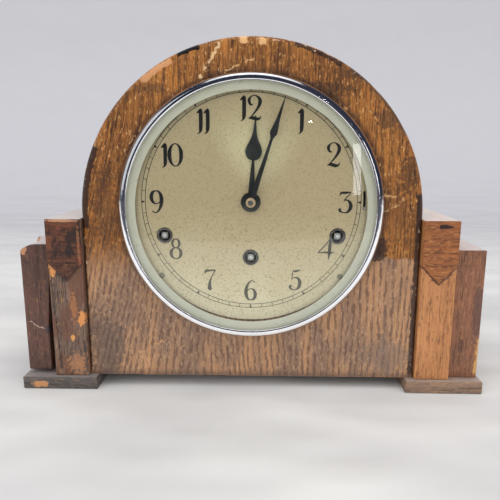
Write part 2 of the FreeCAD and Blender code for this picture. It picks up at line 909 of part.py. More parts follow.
def pillar_nuts():
    """Hexagon nuts that hold the back plate on its pillars."""
    nuts = []
    for x, z in pillar_places():
        blank = bar(x, z, nut_corner_radius, 6, plate_back, plate_back + nut_thickness)
        bore = drill(x, z, screw_shank_radius + running_gap, plate_back, plate_back + nut_thickness)
        nuts.append(blank.cut(bore))
    return nuts


def mounting_spacers():
    """Hexagon spacers between the panel and the front plate."""
    bars = []
    for x, z in mount_places():
        blank = bar(x, z, spacer_radius, 6, panel_thickness, plate_front)
        bars.append(blank.cut(drill(x, z, screw_shank_radius + running_gap, panel_thickness, plate_front)))
    return Part.makeCompound(bars)


def mounting_screws():
    """Wood screws through the front plate and spacers into the back of the panel."""
    screws = []
    for x, z in mount_places():
        head = bar(x, z, screw_head_radius, screw_sides, space_front, space_front + screw_head_height)
        shank = bar(x, z, screw_shank_radius, screw_sides, panel_thickness - screw_bite, space_front)
        screws.append(solid_of(head.fuse(shank)))
    return screws


def winding_arbor(name):
    """Steel arbor with a key square in front, a ratchet wheel and a rear pivot."""
    x, z = winding_places()[name]
    ratchet_back = plate_front - running_gap * 4
    ratchet_front = ratchet_back - ratchet_thickness
    body = bar(x, z, winding_radius, turned_sides, ratchet_front, space_back - seat_gap)
    half = winding_square / 2
    square_front = -dial_thickness + winding_recess
    square = box(x - half, x + half, square_front, ratchet_front, z - half, z + half)
    ratchet = plate(ratchet_points(x, z), ratchet_front, ratchet_back)
    return solid_of(body.fuse([rear_pivot(x, z), square, ratchet]))


def ratchet_points(x, z):
    """Saw teeth: each rises slowly and drops straight back to the root."""
    points = []
    pitch = 360 / ratchet_teeth
    for tooth in range(ratchet_teeth):
        points.append(polar(x, z, ratchet_radius - ratchet_tooth, tooth * pitch))
        points.append(polar(x, z, ratchet_radius, tooth * pitch))
    return points


def clicks():
    """Pawls screwed to the front plate, one by each ratchet; their tips stand just clear of the teeth."""
    pawls = []
    back = plate_front
    front = plate_front - running_gap * 4 - ratchet_thickness
    for x, z in winding_places().values():
        tip_x, tip_z = polar(x, z, ratchet_radius + click_gap, click_angle)
        away = click_angle + click_lean
        heel_x, heel_z = polar(tip_x, tip_z, click_length, away)
        side_x, side_z = polar(0, 0, click_width / 2, away + 90)
        outline = [(tip_x, tip_z), (heel_x + side_x, heel_z + side_z), (heel_x - side_x, heel_z - side_z)]
        screw = bar(heel_x, heel_z, click_width, screw_sides, front - ratchet_thickness / 2, back)
        pawl = plate(outline, front, back).fuse(screw)
        pawls.append(solid_of(pawl))
    return Part.makeCompound(pawls)


def going_train_radii():
    return split(going_arbor_drop, going_wheel_teeth, centre_pinion_leaves)


def going_barrel():
    """Spring barrel with its great wheel at the front, turning on the winding arbor."""
    x, z = winding_places()["going"]
    wheel_front = space_front + barrel_end_gap
    wheel_back = wheel_front + great_wheel_thickness
    radius = going_train_radii()[0]
    great = wheel(going_wheel_teeth, radius, x, z, 0, wheel_front, wheel_back)
    barrel = rod(x, z, going_barrel_radius, wheel_back, wheel_back + barrel_length)
    bore = drill(x, z, winding_radius + running_gap, wheel_front, wheel_back + barrel_length, turned_sides)
    return solid_of(great.fuse(barrel).cut(bore))


def centre_wheel_depth():
    return space_front + barrel_end_gap + great_wheel_thickness + barrel_length + barrel_end_gap


def centre_wheel():
    """Centre arbor: pinion in front, wheel at the back, and the long nose that carries the hands."""
    wheel_front = centre_wheel_depth()
    wheel_back = wheel_front + wheel_thickness
    pinion_front = space_front + barrel_end_gap - side_gap
    pinion_back = pinion_front + great_wheel_thickness + 2 * side_gap
    third_x, third_z = third_place()
    distance = math.hypot(third_x, third_z - hands_z)
    radius = split(distance, centre_wheel_teeth, third_pinion_leaves)[0]
    towards = bearing(0, hands_z, third_x, third_z)
    hub = arbor_radius * hub_share
    disc = crossed_wheel(centre_wheel_teeth, radius, hub, 0, hands_z, towards, wheel_front, wheel_back)
    pinion_radius = going_train_radii()[1]
    phase = 180 + 180 / centre_pinion_leaves
    leaves = pinion(centre_pinion_leaves, pinion_radius, 0, hands_z, phase, pinion_front, pinion_back)
    shaft = bar(0, hands_z, arbor_radius, turned_sides, pinion_back, space_back - seat_gap)
    nose = rod(0, hands_z, centre_arbor_radius, -nut_front(), pinion_front)
    return solid_of(disc.fuse([leaves, shaft, nose, rear_pivot(0, hands_z)]))


def arbor(x, z):
    """Arbor between the plates, shouldered down to a pivot at each end."""
    shaft = bar(x, z, arbor_radius, turned_sides, space_front + seat_gap, space_back - seat_gap)
    front = bar(x, z, pivot_radius, screw_sides, plate_front - pivot_radius / 2, space_front + seat_gap)
    return shaft.fuse([front, rear_pivot(x, z)])


def rear_pivot(x, z):
    return rod(x, z, pivot_radius, space_back - seat_gap, plate_back + pivot_radius / 2)


def third_wheel():
    x, z = third_place()
    towards_centre = bearing(x, z, 0, hands_z)
    escape_x, escape_z = escape_place()
    towards_escape = bearing(x, z, escape_x, escape_z)
    pinion_radius = split(math.hypot(x, z - hands_z), third_pinion_leaves, centre_wheel_teeth)[0]
    wheel_radius = split(math.hypot(x - escape_x, z - escape_z), third_wheel_teeth, escape_pinion_leaves)[0]
    pinion_front = centre_wheel_depth() - side_gap
    pinion_back = centre_wheel_depth() + wheel_thickness + side_gap
    phase = towards_centre + 180 / third_pinion_leaves
    leaves = pinion(third_pinion_leaves, pinion_radius, x, z, phase, pinion_front, pinion_back)
    d0 = space_front + third_wheel_depth
    hub = arbor_radius * hub_share
    disc = crossed_wheel(third_wheel_teeth, wheel_radius, hub, x, z, towards_escape, d0, d0 + wheel_thickness)
    return solid_of(arbor(x, z).fuse([leaves, disc]))


def escape_wheel():
    x, z = escape_place()
    third_x, third_z = third_place()
    radius = split(math.hypot(x - third_x, z - third_z), escape_pinion_leaves, third_wheel_teeth)[0]
    phase = bearing(x, z, third_x, third_z) + 180 / escape_pinion_leaves
    d0 = space_front + third_wheel_depth - side_gap
    leaves = pinion(escape_pinion_leaves, radius, x, z, phase, d0, d0 + wheel_thickness + 2 * side_gap)
    points = []
    pitch = 360 / escape_teeth
    for tooth in range(escape_teeth):
        points.append(polar(x, z, escape_radius - escape_tooth, tooth * pitch))
        points.append(polar(x, z, escape_radius, (tooth + escape_lean_share) * pitch))
    wheel_front = space_front + escape_wheel_depth
    disc = plate(points, wheel_front, wheel_front + wheel_thickness)
    return solid_of(arbor(x, z).fuse([leaves, disc]))


def pallet_anchor():
    """Anchor over the escape wheel, its arbor, and the crutch that meets the pendulum behind the plates."""
    x, z = anchor_place()
    wheel_x, wheel_z = escape_place()
    middle = space_front + escape_wheel_depth + wheel_thickness / 2
    d0 = middle - anchor_thickness / 2
    d1 = middle + anchor_thickness / 2
    clear = escape_radius + anchor_gap
    right_tip = polar(wheel_x, wheel_z, clear, anchor_span_angle)
    right_heel = polar(wheel_x, wheel_z, clear + pallet_width, anchor_span_angle + anchor_heel_angle)
    half = anchor_arm / 2
    outline = [(0, z + anchor_arm), (right_heel[0] + half, right_heel[1] + anchor_arm), right_heel, right_tip]
    outline += [(0, z - half), (-right_tip[0], right_tip[1]), (-right_heel[0], right_heel[1])]
    outline.append((-right_heel[0] - half, right_heel[1] + anchor_arm))
    arms = plate(outline, d0, d1)
    cock_front = plate_back + cock_reach
    shaft = bar(x, z, arbor_radius, turned_sides, space_front + seat_gap, cock_front - seat_gap)
    front_pivot = bar(x, z, pivot_radius, screw_sides, plate_front - pivot_radius / 2, space_front + seat_gap)
    rear = rod(x, z, pivot_radius, cock_front - seat_gap, cock_front + cock_bar / 2)
    crutch_front = plate_back + cock_reach / 3
    crutch_back = crutch_front + 2 * crutch_wire
    fork_z = z - crutch_drop
    crutch = box(-crutch_wire, crutch_wire, crutch_front, crutch_back, fork_z, z)
    inner = rod_radius + fork_gap
    outer = inner + crutch_wire
    fork_end = pendulum_depth + rod_radius * 2
    top = fork_z + 2 * crutch_wire
    bridge = box(-outer, outer, crutch_front, crutch_back, fork_z, top)
    left = box(-outer, -inner, crutch_front, fork_end, fork_z, top)
    right = box(inner, outer, crutch_front, fork_end, fork_z, top)
    return solid_of(arms.fuse([shaft, front_pivot, rear, crutch, bridge, left, right]))


def back_cock():
    """Bridge on the back plate: it carries the anchor's rear pivot and the pendulum's spring."""
    x, z = anchor_place()
    bar_front = plate_back + cock_reach
    bar_back = bar_front + cock_bar
    half = cock_half_span + cock_post_radius
    bridge = box(-half, half, bar_front, bar_back, z - cock_height / 2, z + cock_height / 2)
    posts = [bar(side * cock_half_span, z, cock_post_radius, turned_sides, plate_back, bar_front)
             for side in (-1, 1)]
    stub_low = z + seat_gap
    stub_half = suspension_half_width
    stub = box(-stub_half, stub_half, bar_back, bar_back + suspension_block, stub_low, z + cock_height / 2)
    hole = drill(x, z, pivot_radius + running_gap, bar_front, bar_front + cock_bar / 2 + seat_gap - overrun)
    return solid_of(bridge.fuse(posts + [stub]).cut(hole))


def pendulum_rod():
    """Spring strip, rod and the threaded end below the bob."""
    z = anchor_place()[1]
    half = spring_thickness / 2
    d0 = pendulum_depth - spring_width / 2
    d1 = pendulum_depth + spring_width / 2
    spring = box(-half, half, d0, d1, z - spring_length, z - seat_gap)
    end = z - bob_drop - bob_radius - nut_drop - rating_nut_height
    wire = Part.makeCylinder(rod_radius, z - spring_length - end, V(0, deep(pendulum_depth), end))
    return solid_of(spring.fuse(wire))


def pendulum_bob():
    """Lens-shaped brass bob threaded over the rod."""
    z = anchor_place()[1] - bob_drop
    half_edge = bob_edge / 2
    rise = (bob_thickness - bob_edge) / 2
    front = dome(bob_radius, pendulum_depth - half_edge, rise)
    back = dome(bob_radius, pendulum_depth + half_edge, -rise)
    lens = turned([front, (front[2], back[2]), back[::-1], (back[0], front[0])], 0, z)
    hole = (rod_radius + running_gap) / math.cos(math.pi / hole_sides)
    reach = bob_radius + overrun
    return lens.cut(upright(0, pendulum_depth, hole, hole_sides, z - reach, z + reach))


def rating_nut():
    z = anchor_place()[1] - bob_drop - bob_radius - nut_drop / 4 - rating_nut_height
    blank = upright(0, pendulum_depth, rating_nut_radius, turned_sides, z, z + rating_nut_height)
    hole = (rod_radius + running_gap) / math.cos(math.pi / hole_sides)
    bore = upright(0, pendulum_depth, hole, hole_sides, z - overrun, z + rating_nut_height + overrun)
    return blank.cut(bore)


def side_barrel_front():
    return space_front + barrel_end_gap + great_wheel_thickness + barrel_end_gap


def side_wheel_planes():
    front = side_barrel_front() + barrel_length
    return front, front + great_wheel_thickness


def side_radii():
    distance = math.hypot(side_arbor_x - second_arbor_x, second_arbor_drop - side_arbor_drop)
    return split(distance, side_wheel_teeth, side_pinion_leaves)


def side_barrel(name, side):
    """Strike or chime barrel with its great wheel at the back."""
    x, z = winding_places()[name]
    to_x, to_z = second_place(side)
    wheel_front, wheel_back = side_wheel_planes()
    great = wheel(side_wheel_teeth, side_radii()[0], x, z, bearing(x, z, to_x, to_z), wheel_front, wheel_back)
    barrel = rod(x, z, side_barrel_radius, side_barrel_front(), wheel_front)
    bore = drill(x, z, winding_radius + running_gap, side_barrel_front(), wheel_back, turned_sides)
    return solid_of(great.fuse(barrel).cut(bore))


def second_arbor(name, side):
    """Second arbor: pinion at the back and a disc with lifting pins at the front."""
    x, z = second_place(side)
    to_x, to_z = winding_places()[name]
    wheel_front, wheel_back = side_wheel_planes()
    phase = bearing(x, z, to_x, to_z) + 180 / side_pinion_leaves
    leaves_front = wheel_front - side_gap
    leaves_back = wheel_back + side_gap
    leaves = pinion(side_pinion_leaves, side_radii()[1], x, z, phase, leaves_front, leaves_back)
    d0 = space_front + barrel_end_gap
    disc = bar(x, z, second_wheel_radius, 2 * turned_sides, d0, d0 + wheel_thickness)
    fitted = [leaves, disc]
    pin_circle = second_wheel_radius * wheel_rim_share
    for pin in range(pin_count):
        pin_x, pin_z = polar(x, z, pin_circle, pin * 360 / pin_count)
        fitted.append(bar(pin_x, pin_z, pin_radius, 4, d0, d0 + wheel_thickness + pin_length))
    return arbor(x, z).fuse(fitted)


def hammer_depth(index):
    return plate_back + hammer_start + index * hammer_pitch


def strap_front():
    return hammer_depth(hammer_count - 1) + hammer_hub_width / 2 + side_gap


def hammer_arbor_place():
    return hammer_arbor_x, hands_z - hammer_arbor_drop


def strike_pin_wheel():
    return solid_of(second_arbor("strike", -1))


def chime_pin_drum():
    """Chime arbor carried on behind the back plate as a drum, with pins for each hammer."""
    x, z = second_place(1)
    drum_front = hammer_depth(0) - hammer_hub_width / 2
    drum_back = strap_front() - side_gap
    drum_sides = hammer_count * hammer_count
    shaft = bar(x, z, pivot_radius, screw_sides, plate_back, drum_back + frame_strap)
    fitted = [shaft, bar(x, z, drum_radius, drum_sides, drum_front, drum_back)]
    for index in range(hammer_count):
        depth = hammer_depth(index)
        for pin in range(hammer_count):
            turn = (index + pin * hammer_count) * 360 / drum_sides
            pin_top = z + drum_radius + drum_pin
            stub = box(x - pin_radius, x + pin_radius, depth - pin_radius, depth + pin_radius, z, pin_top)
            stub.rotate(V(x, 0, z), V(0, 1, 0), turn)
            fitted.append(stub)
    return solid_of(second_arbor("chime", 1).fuse(fitted))


def rod_z():
    return foot_height + base_thickness + gong_block_height * rod_height_share


def chime_hammer(index):
    """Hammer with a hub on the shared arbor, a tail by the drum and a head over its rod."""
    x, z = hammer_arbor_place()
    depth = hammer_depth(index)
    half_hub = hammer_hub_width / 2
    half_arm = hammer_arm / 2
    hub_radius = hammer_arbor_radius + running_gap + hammer_hub_wall
    hub = bar(x, z, hub_radius, turned_sides, depth - half_hub, depth + half_hub)
    head_x = x - hammer_reach
    head_low = rod_z() + rod_thickness / 2 + hammer_clearance
    arm_z = head_low + hammer_head_length - hammer_head_drop
    corners = [(x, z + half_arm), (x, z - half_arm), (head_x, arm_z - half_arm), (head_x, arm_z + half_arm)]
    arm = plate(corners, depth - half_arm, depth + half_arm)
    head = upright(head_x, depth, hammer_head_radius, screw_sides, head_low, head_low + hammer_head_length)
    drum_x, drum_z = second_place(1)
    towards = bearing(x, z, drum_x, drum_z)
    distance = math.hypot(drum_x - x, drum_z - z)
    tail_length = distance - drum_radius - drum_pin - hammer_tail_gap
    tail = box(x - half_arm, x + half_arm, depth - half_arm, depth + half_arm, z, z + tail_length)
    tail.rotate(V(x, 0, z), V(0, 1, 0), towards)
    bore = drill(x, z, hammer_arbor_radius + running_gap, depth - half_hub, depth + half_hub)
    return solid_of(hub.fuse([arm, head, tail]).cut(bore))


def hammer_frame():
    """Rear strap on a post and a lug, with the fixed arbor that the hammers swing on."""
    x, z = hammer_arbor_place()
    drum_x, drum_z = second_place(1)
    front = strap_front()
    back = front + frame_strap
    half = frame_strap_width / 2
    towards = bearing(x, z, drum_x, drum_z)
    length = math.hypot(drum_x - x, drum_z - z)
    strap = box(x - half, x + half, front, back, z - half, z + length + 2 * frame_strap_width)
    strap.rotate(V(x, 0, z), V(0, 1, 0), towards)
    post_x, post_z = polar(x, z, length + frame_strap_width * 3 / 2, towards)
    post = bar(post_x, post_z, frame_post_radius, turned_sides, plate_back, front)
    pin = rod(x, z, hammer_arbor_radius, hammer_depth(0) - hammer_hub_width, front)
    bracket_z = hands_z - plate_bottom + frame_strap_width
    lug_front = plate_back
    lug_back = hammer_depth(0) - hammer_hub_width / 2 - side_gap
    lug = box(x - half, x + half, lug_front, lug_front + frame_strap, z - half, bracket_z)
    boss = bar(x, z, hammer_arbor_radius * 3 / 2, turned_sides, lug_front, lug_back)
    frame = strap.fuse([post, pin, lug, boss])
    return solid_of(frame.cut(drill(drum_x, drum_z, pivot_radius + running_gap, front, back)))


def gong_block():
    """Cast iron block on the base, drilled for the chime rods."""
    x1 = -gong_block_x
    x0 = x1 - gong_block_length
    d0 = hammer_depth(0) - gong_block_margin
    d1 = hammer_depth(hammer_count - 1) + gong_block_margin
    low = foot_height + base_thickness
    block = box(x0, x1, d0, d1, low, low + gong_block_height)
    corner = gong_block_height - (rod_z() - low) - rod_thickness
    wedge_top = low + gong_block_height + overrun
    wedge = [(x0 - overrun, wedge_top), (x0 + corner, wedge_top)]
    wedge += [(x0 + corner, low + gong_block_height), (x0, low + gong_block_height - corner)]
    wedge.append((x0 - overrun, low + gong_block_height - corner))
    block = block.cut(plate(wedge, d0 - overrun, d1 + overrun))
    for index in range(hammer_count):
        radius = (rod_thickness / 2 + running_gap) / math.cos(math.pi / hole_sides)
        block = block.cut(cross_bar(x1 - rod_socket - seat_gap, x1 + overrun, index, radius))
    return block


def cross_bar(x0, x1, index, radius):
    """Bar along X on the line of a chime rod."""
    corners = [polar(hammer_depth(index), rod_z(), radius, (side + 0.5) * 360 / hole_sides)
               for side in range(hole_sides)]
    spots = [V(x0, deep(depth), z) for depth, z in corners]
    return Part.Face(Part.makePolygon(spots + spots[:1])).extrude(V(x1 - x0, 0, 0))


def chime_rods():
    """Tuned steel rods, each shorter than the one in front of it."""
    bars = []
    start = -gong_block_x - rod_socket
    for index in range(hammer_count):
        bars.append(cross_bar(start, start + longest_rod - index * rod_step, index, rod_thickness / 2))
    return Part.makeCompound(bars)


def back_door():
    """Arched door with sound slots."""
    front = case_depth - back_thickness
    low = foot_height + door_bottom
    door = arch(door_half_width, low, arch_z, front, case_depth)
    for index in range(door_slot_count):
        x = (index - (door_slot_count - 1) / 2) * door_slot_pitch
        half = door_slot_width / 2
        slot_low = low + door_slot_rise
        slot_high = slot_low + door_slot_height
        outline = [(x - half, slot_low), (x, slot_low - half), (x + half, slot_low)]
        outline += [(x + half, slot_high), (x, slot_high + half), (x - half, slot_high)]
        door = door.cut(plate(outline, front - overrun, case_depth + overrun))
    return solid_of(door)


def door_pin_x():
    return door_half_width + door_gap / 2


def door_hinge_heights():
    return [foot_height + door_bottom + door_hinge_height / 2, arch_z - door_hinge_height / 2]


def door_hinge(fixed):
    """Brass butt hinges: outer knuckles and pin on the fixed leaves, middle knuckles on the door."""
    x = door_pin_x()
    depth = case_depth + door_knuckle_radius
    third = door_hinge_half * 2 / 3
    clear = door_knuckle_radius + 2 * side_gap
    tab_back = case_depth + door_leaf
    leaves = []
    for middle in door_hinge_heights():
        low = middle - door_hinge_half
        high = middle + door_hinge_half
        if fixed:
            leaf = box(x + clear, x + door_leaf_width, case_depth, tab_back, low, high)
            spans = ((low, low + third - side_gap), (high - third + side_gap, high))
        else:
            leaf = box(x - door_leaf_width, x - clear, case_depth, tab_back, low, high)
            spans = ((low + third, high - third),)
        fitted = []
        for start, end in spans:
            tab_to = x + clear if fixed else x - clear
            fitted.append(upright(x, depth, door_knuckle_radius, turned_sides, start, end))
            fitted.append(box(min(x, tab_to), max(x, tab_to), case_depth, tab_back, start, end))
        if fixed:
            leaf = leaf.fuse(fitted + [pin_rod(x, depth, door_pin_radius, low, high)])
        else:
            leaf = leaf.fuse(fitted).cut(pin_rod(x, depth, door_pin_radius + running_gap, low, high))
        leaves.append(solid_of(leaf))
    return Part.makeCompound(leaves)


def door_knob():
    """Small turned brass knob near the door's free edge."""
    foot = case_depth
    waist = foot + knob_length / 3
    full = foot + knob_length * 2 / 3
    cap = dome(knob_radius, full, full - foot - knob_length)
    profile = [((0, foot), (knob_stem_radius, foot)), ((knob_stem_radius, foot), (knob_stem_radius, waist))]
    profile += [((knob_stem_radius, waist), cap[2]), cap[::-1], (cap[0], (0, foot))]
    return turned(profile, knob_inset - door_half_width, arch_z)


os.makedirs("parts", exist_ok=True)

pieces = {
    "front_panel": front_panel(),
    "case_shell": case_shell(),
    "base_board": base_board(),
    "back_frame": back_frame(),
    "left_pilaster": pilaster(-1),
    "right_pilaster": pilaster(1),
    "left_tongue": tongue(-1),
    "right_tongue": tongue(1),
    "left_end_block": end_block(-1),
    "right_end_block": end_block(1),
    "left_foot": foot(-1),
    "right_foot": foot(1),
    "bezel_rim": bezel_rim(),
    "bezel_glass": bezel_glass(),
    "bezel_slip": bezel_slip(),
    "bezel_hinge_leaf": bezel_hinge_leaf(),
    "bezel_hinge_plate": bezel_hinge_plate(),
    "dial_plate": dial_plate(),
    "dial_screws": dial_screws(),
    "winding_grommets": winding_grommets(),
    "chime_silent_lever": chime_silent_lever(),
    "hour_hand": hour_hand(),
    "minute_hand": minute_hand(),
    "hand_nut": hand_nut(),
    "cannon_pinion": cannon_pinion(),
    "minute_wheel": minute_wheel(),
    "hour_wheel": hour_wheel(),
    "movement_front_plate": front_plate(),
    "movement_back_plate": back_plate(),
    "plate_pillars": plate_pillars(),
    "mounting_spacers": mounting_spacers(),
    "movement_nuts_and_screws": Part.makeCompound(pillar_nuts() + mounting_screws()),
    "going_winding_arbor": winding_arbor("going"),
    "strike_winding_arbor": winding_arbor("strike"),
    "chime_winding_arbor": winding_arbor("chime"),
    "winding_clicks": clicks(),
    "going_barrel": going_barrel(),
    "centre_wheel": centre_wheel(),
    "third_wheel": third_wheel(),
    "escape_wheel": escape_wheel(),
    "pallet_anchor": pallet_anchor(),
    "back_cock": back_cock(),
    "pendulum_rod": pendulum_rod(),
    "pendulum_bob": pendulum_bob(),
    "rating_nut": rating_nut(),
    "strike_barrel": side_barrel("strike", -1),
    "chime_barrel": side_barrel("chime", 1),
    "strike_pin_wheel": strike_pin_wheel(),
    "chime_pin_drum": chime_pin_drum(),
    "hammer_frame": hammer_frame(),
    "gong_block": gong_block(),
    "chime_rods": chime_rods(),
    "back_door": back_door(),
    "door_hinge_plates": door_hinge(True),
    "door_hinge_leaves": door_hinge(False),
    "door_knob": door_knob(),
}
for index in range(hammer_count):
    pieces["chime_hammer_%d" % (index + 1)] = chime_hammer(index)

for name, shape in pieces.items():
    shape.exportStep("parts/%s.step" % name)
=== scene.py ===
import math

import bmesh
import bpy
import numpy as np
from mathutils import Matrix, Vector


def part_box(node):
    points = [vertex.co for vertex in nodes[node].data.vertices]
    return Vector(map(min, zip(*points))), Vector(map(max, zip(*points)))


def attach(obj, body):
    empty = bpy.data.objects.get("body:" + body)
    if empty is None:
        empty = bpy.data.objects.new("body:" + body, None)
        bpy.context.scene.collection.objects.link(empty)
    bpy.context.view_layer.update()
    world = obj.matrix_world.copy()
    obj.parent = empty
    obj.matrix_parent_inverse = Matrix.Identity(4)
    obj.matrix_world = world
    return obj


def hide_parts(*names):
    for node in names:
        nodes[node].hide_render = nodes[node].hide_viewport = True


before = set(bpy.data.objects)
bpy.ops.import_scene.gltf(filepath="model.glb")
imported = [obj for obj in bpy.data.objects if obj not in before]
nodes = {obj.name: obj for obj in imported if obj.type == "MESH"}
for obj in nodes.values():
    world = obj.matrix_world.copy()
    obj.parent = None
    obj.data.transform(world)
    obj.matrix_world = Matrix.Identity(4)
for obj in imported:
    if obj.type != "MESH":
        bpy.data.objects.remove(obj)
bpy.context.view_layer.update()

mm = 0.001

# Camera
# The photograph looks a little down from close in front of the dial. Its place and angles were fitted to the
# outlines of the case, bezel and feet, and are counted from the front face of the panel.
panel_low, panel_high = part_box("front_panel")
face_y = panel_low.y
camera_place = Vector((8.28 * mm, face_y - 346.94 * mm, 169.03 * mm))
camera_yaw = math.radians(-1.45)
camera_pitch = math.radians(11.06)
camera_roll = math.radians(0.09)
ahead = Vector((math.sin(camera_yaw) * math.cos(camera_pitch), math.cos(camera_yaw) * math.cos(camera_pitch),
                -math.sin(camera_pitch)))
level = Vector((math.cos(camera_yaw), -math.sin(camera_yaw), 0))
upright = level.cross(ahead)
right = level * math.cos(camera_roll) + upright * math.sin(camera_roll)
up = upright * math.cos(camera_roll) - level * math.sin(camera_roll)
camera_data = bpy.data.cameras.new("camera")
camera_data.sensor_width = 36
camera_data.lens = 37.12
camera_data.clip_start = 0.01
camera = bpy.data.objects.new("camera", camera_data)
bpy.context.scene.collection.objects.link(camera)
camera.matrix_world = Matrix.Translation(camera_place) @ Matrix((right, up, -ahead)).transposed().to_4x4()
bpy.context.scene.camera = camera
bpy.context.scene.view_settings.view_transform = "Standard"


# Floor and backdrop
# A pale cotton cloth lies under the clock and runs up behind it in one sweep. It is part of the studio and not of
# the object, and its colour alone makes the background pale. Fold shade and darkening towards the back are
# painted into that colour, and in reflections it is painted brighter, with painted dark beyond a table edge in
# front.
def linear_colour(red, green, blue):
    """Linear colour of display values from 0 to 255."""
    shares = np.array((red, green, blue)) / 255
    linear = np.where(shares > 0.04045, ((shares + 0.055) / 1.055) ** 2.4, shares / 12.92)
    return (*linear.tolist(), 1.0)


def operator(operation):
    """Method of a channel that adds one Math node."""
    return lambda first, second=0.0: first.finish.node("Math", {0: first, 1: second}, operation=operation)


class Channel:
    """A shader socket used in sums: each operator adds the Math node that works it out."""

    def __init__(self, finish, socket):
        self.finish = finish
        self.socket = socket

    __add__ = __radd__ = operator("ADD")
    __sub__ = operator("SUBTRACT")
    __mul__ = __rmul__ = operator("MULTIPLY")
    __truediv__ = operator("DIVIDE")
    __pow__ = operator("POWER")
    __abs__ = operator("ABSOLUTE")
    most = operator("MAXIMUM")
    sine = operator("SINE")
    clock_angle = operator("ARCTAN2")

    def __rsub__(self, other):
        return self.finish.node("Math", {0: other, 1: self}, operation="SUBTRACT")

    def rise(self, start, end):
        """0 at start, 1 at end, smooth between them; a falling edge has its start above its end."""
        if start > end:
            return 1 - self.rise(end, start)
        inputs = {"Value": self, "From Min": start, "From Max": end}
        return self.finish.node("MapRange", inputs, interpolation_type="SMOOTHSTEP")


class Finish:
    """A material: node() adds any node, and its output comes back as a channel. A colour of three numbers is in
    display values from 0 to 255."""

    def __init__(self, name):
        self.material = bpy.data.materials.new(name)
        self.material.use_nodes = True
        self.tree = self.material.node_tree
        self.tree.nodes.clear()
        self.where = self.node("TexCoord", {}, "Object")
        self.x, self.y, self.z = self.parts(self.where)

    def node(self, kind, inputs, output=0, **settings):
        made = self.tree.nodes.new("ShaderNode" + kind)
        for key, value in settings.items():
            setattr(made, key, value)
        for key, value in inputs.items():
            socket = made.inputs[key]
            if isinstance(value, Channel):
                self.tree.links.new(value.socket, socket)
            elif socket.type == "RGBA" and len(value) == 3:
                socket.default_value = linear_colour(*value)
            else:
                socket.default_value = value
        return Channel(self, made.outputs[output])

    def parts(self, vector):
        """X, Y and Z of a vector."""
        return [self.node("SeparateXYZ", {0: vector}, axis) for axis in "XYZ"]

    def shifted(self, across):
        """The spot on the surface, moved along X."""
        return self.node("CombineXYZ", {0: self.x + across, 1: self.y, 2: self.z})

    def noise(self, scale, detail=3.0, shift=0.0, at=None, roughness=0.55):
        """Cloudy pattern; scale is lumps per metre, one number or three for X, Y and Z."""
        scale = scale if isinstance(scale, tuple) else (scale,) * 3
        spot = self.node("Mapping", {"Vector": at or self.where, "Location": (shift,) * 3, "Scale": scale})
        return self.node("TexNoise", {"Vector": spot, "Scale": 1.0, "Detail": detail, "Roughness": roughness})

    def radius(self, x, z):
        """Distance from an axis along Y."""
        across = self.x - x
        over = self.z - z
        return (across * across + over * over) ** 0.5

    def mix(self, share, under, over):
        """Colour that goes from under to over as share goes from 0 to 1."""
        return self.node("Mix", {0: share, 6: under, 7: over}, 2, data_type="RGBA")

    def layered(self, colour, *layers):
        """Colour under layers, each a share and its own colour, with the last on top."""
        for share, over in layers:
            colour = self.mix(share, colour, over)
        return colour

    def bump(self, height, distance, strength=1.0):
        return self.node("Bump", {"Height": height, "Distance": distance, "Strength": strength})

    def surface(self, colour, rough, bump, more):
        """Principled shader with a colour, a roughness, a bump and more of its sockets, wired to the output."""
        inputs = {"Base Color": colour, "Roughness": rough, "Normal": self.bump(*bump), **more}
        self.close(self.node("BsdfPrincipled", inputs))
        return self.material

    def close(self, shader, kind="Material"):
        """Wires a shader to the output of a material or the world."""
        self.tree.links.new(shader.socket, self.tree.nodes.new("ShaderNodeOutput" + kind).inputs["Surface"])


def form_of(name, spots, faces):
    """Object of these points and faces."""
    mesh = bpy.data.meshes.new(name)
    mesh.from_pydata(spots.tolist(), [], faces.tolist())
    mesh.shade_smooth()
    made = bpy.data.objects.new(name, mesh)
    bpy.context.scene.collection.objects.link(made)
    return made


sweep_half = 3.6
sweep_front = -1.6
sweep_back = 0.75
sweep_bend = 0.55
sweep_top = 3.0
turn = np.linspace(0, math.pi / 2, 24)[:, None]
sweep_y = np.concatenate([[[sweep_front], [0.0], [0.4]], sweep_back + sweep_bend * np.sin(turn),
                          [[sweep_back + sweep_bend]]])
sweep_z = np.concatenate([[[0], [0], [0]], sweep_bend * (1 - np.cos(turn)), [[sweep_top]]])
sheet = np.stack(np.broadcast_arrays(np.linspace(-sweep_half, sweep_half, 9), sweep_y, sweep_z), -1)
rows, columns = sheet.shape[:2]
index = np.arange(rows * columns).reshape(rows, columns)
quads = np.stack([index[:-1, :-1], index[:-1, 1:], index[1:, 1:], index[1:, :-1]], -1).reshape(-1, 4)
floor = form_of("floor", sheet.reshape(-1, 3), quads)
cloth = Finish("floor_cloth")
folds_and_fold_shade = cloth.noise((5.0, 11.0, 5.0), 2.0)
weave = cloth.noise(900.0, 2.0)
painted_shade_back = cloth.y.rise(0.1, 0.9)
mirrored = cloth.node("LightPath", {}, "Is Glossy Ray")
table_edge = cloth.y + cloth.x * 0.12
reflected_dark_off_table = table_edge.rise(-0.46, -0.50) * mirrored
# painted light: fold shade, darker towards the back, and for reflections brighter with a painted dark band in
# front
cloth_colour = cloth.layered((202, 201, 198), (folds_and_fold_shade.rise(0.3, 0.7), (220, 219, 214)), (painted_shade_back, (189, 189, 191)),
                             (mirrored, (250, 249, 244)), (reflected_dark_off_table, (70, 70, 78)))
cloth_look = cloth.surface(cloth_colour, 0.9, (folds_and_fold_shade * 3 + weave * 0.02, 0.004), {"Specular IOR Level": 0.15})
floor.data.materials.append(cloth_look)


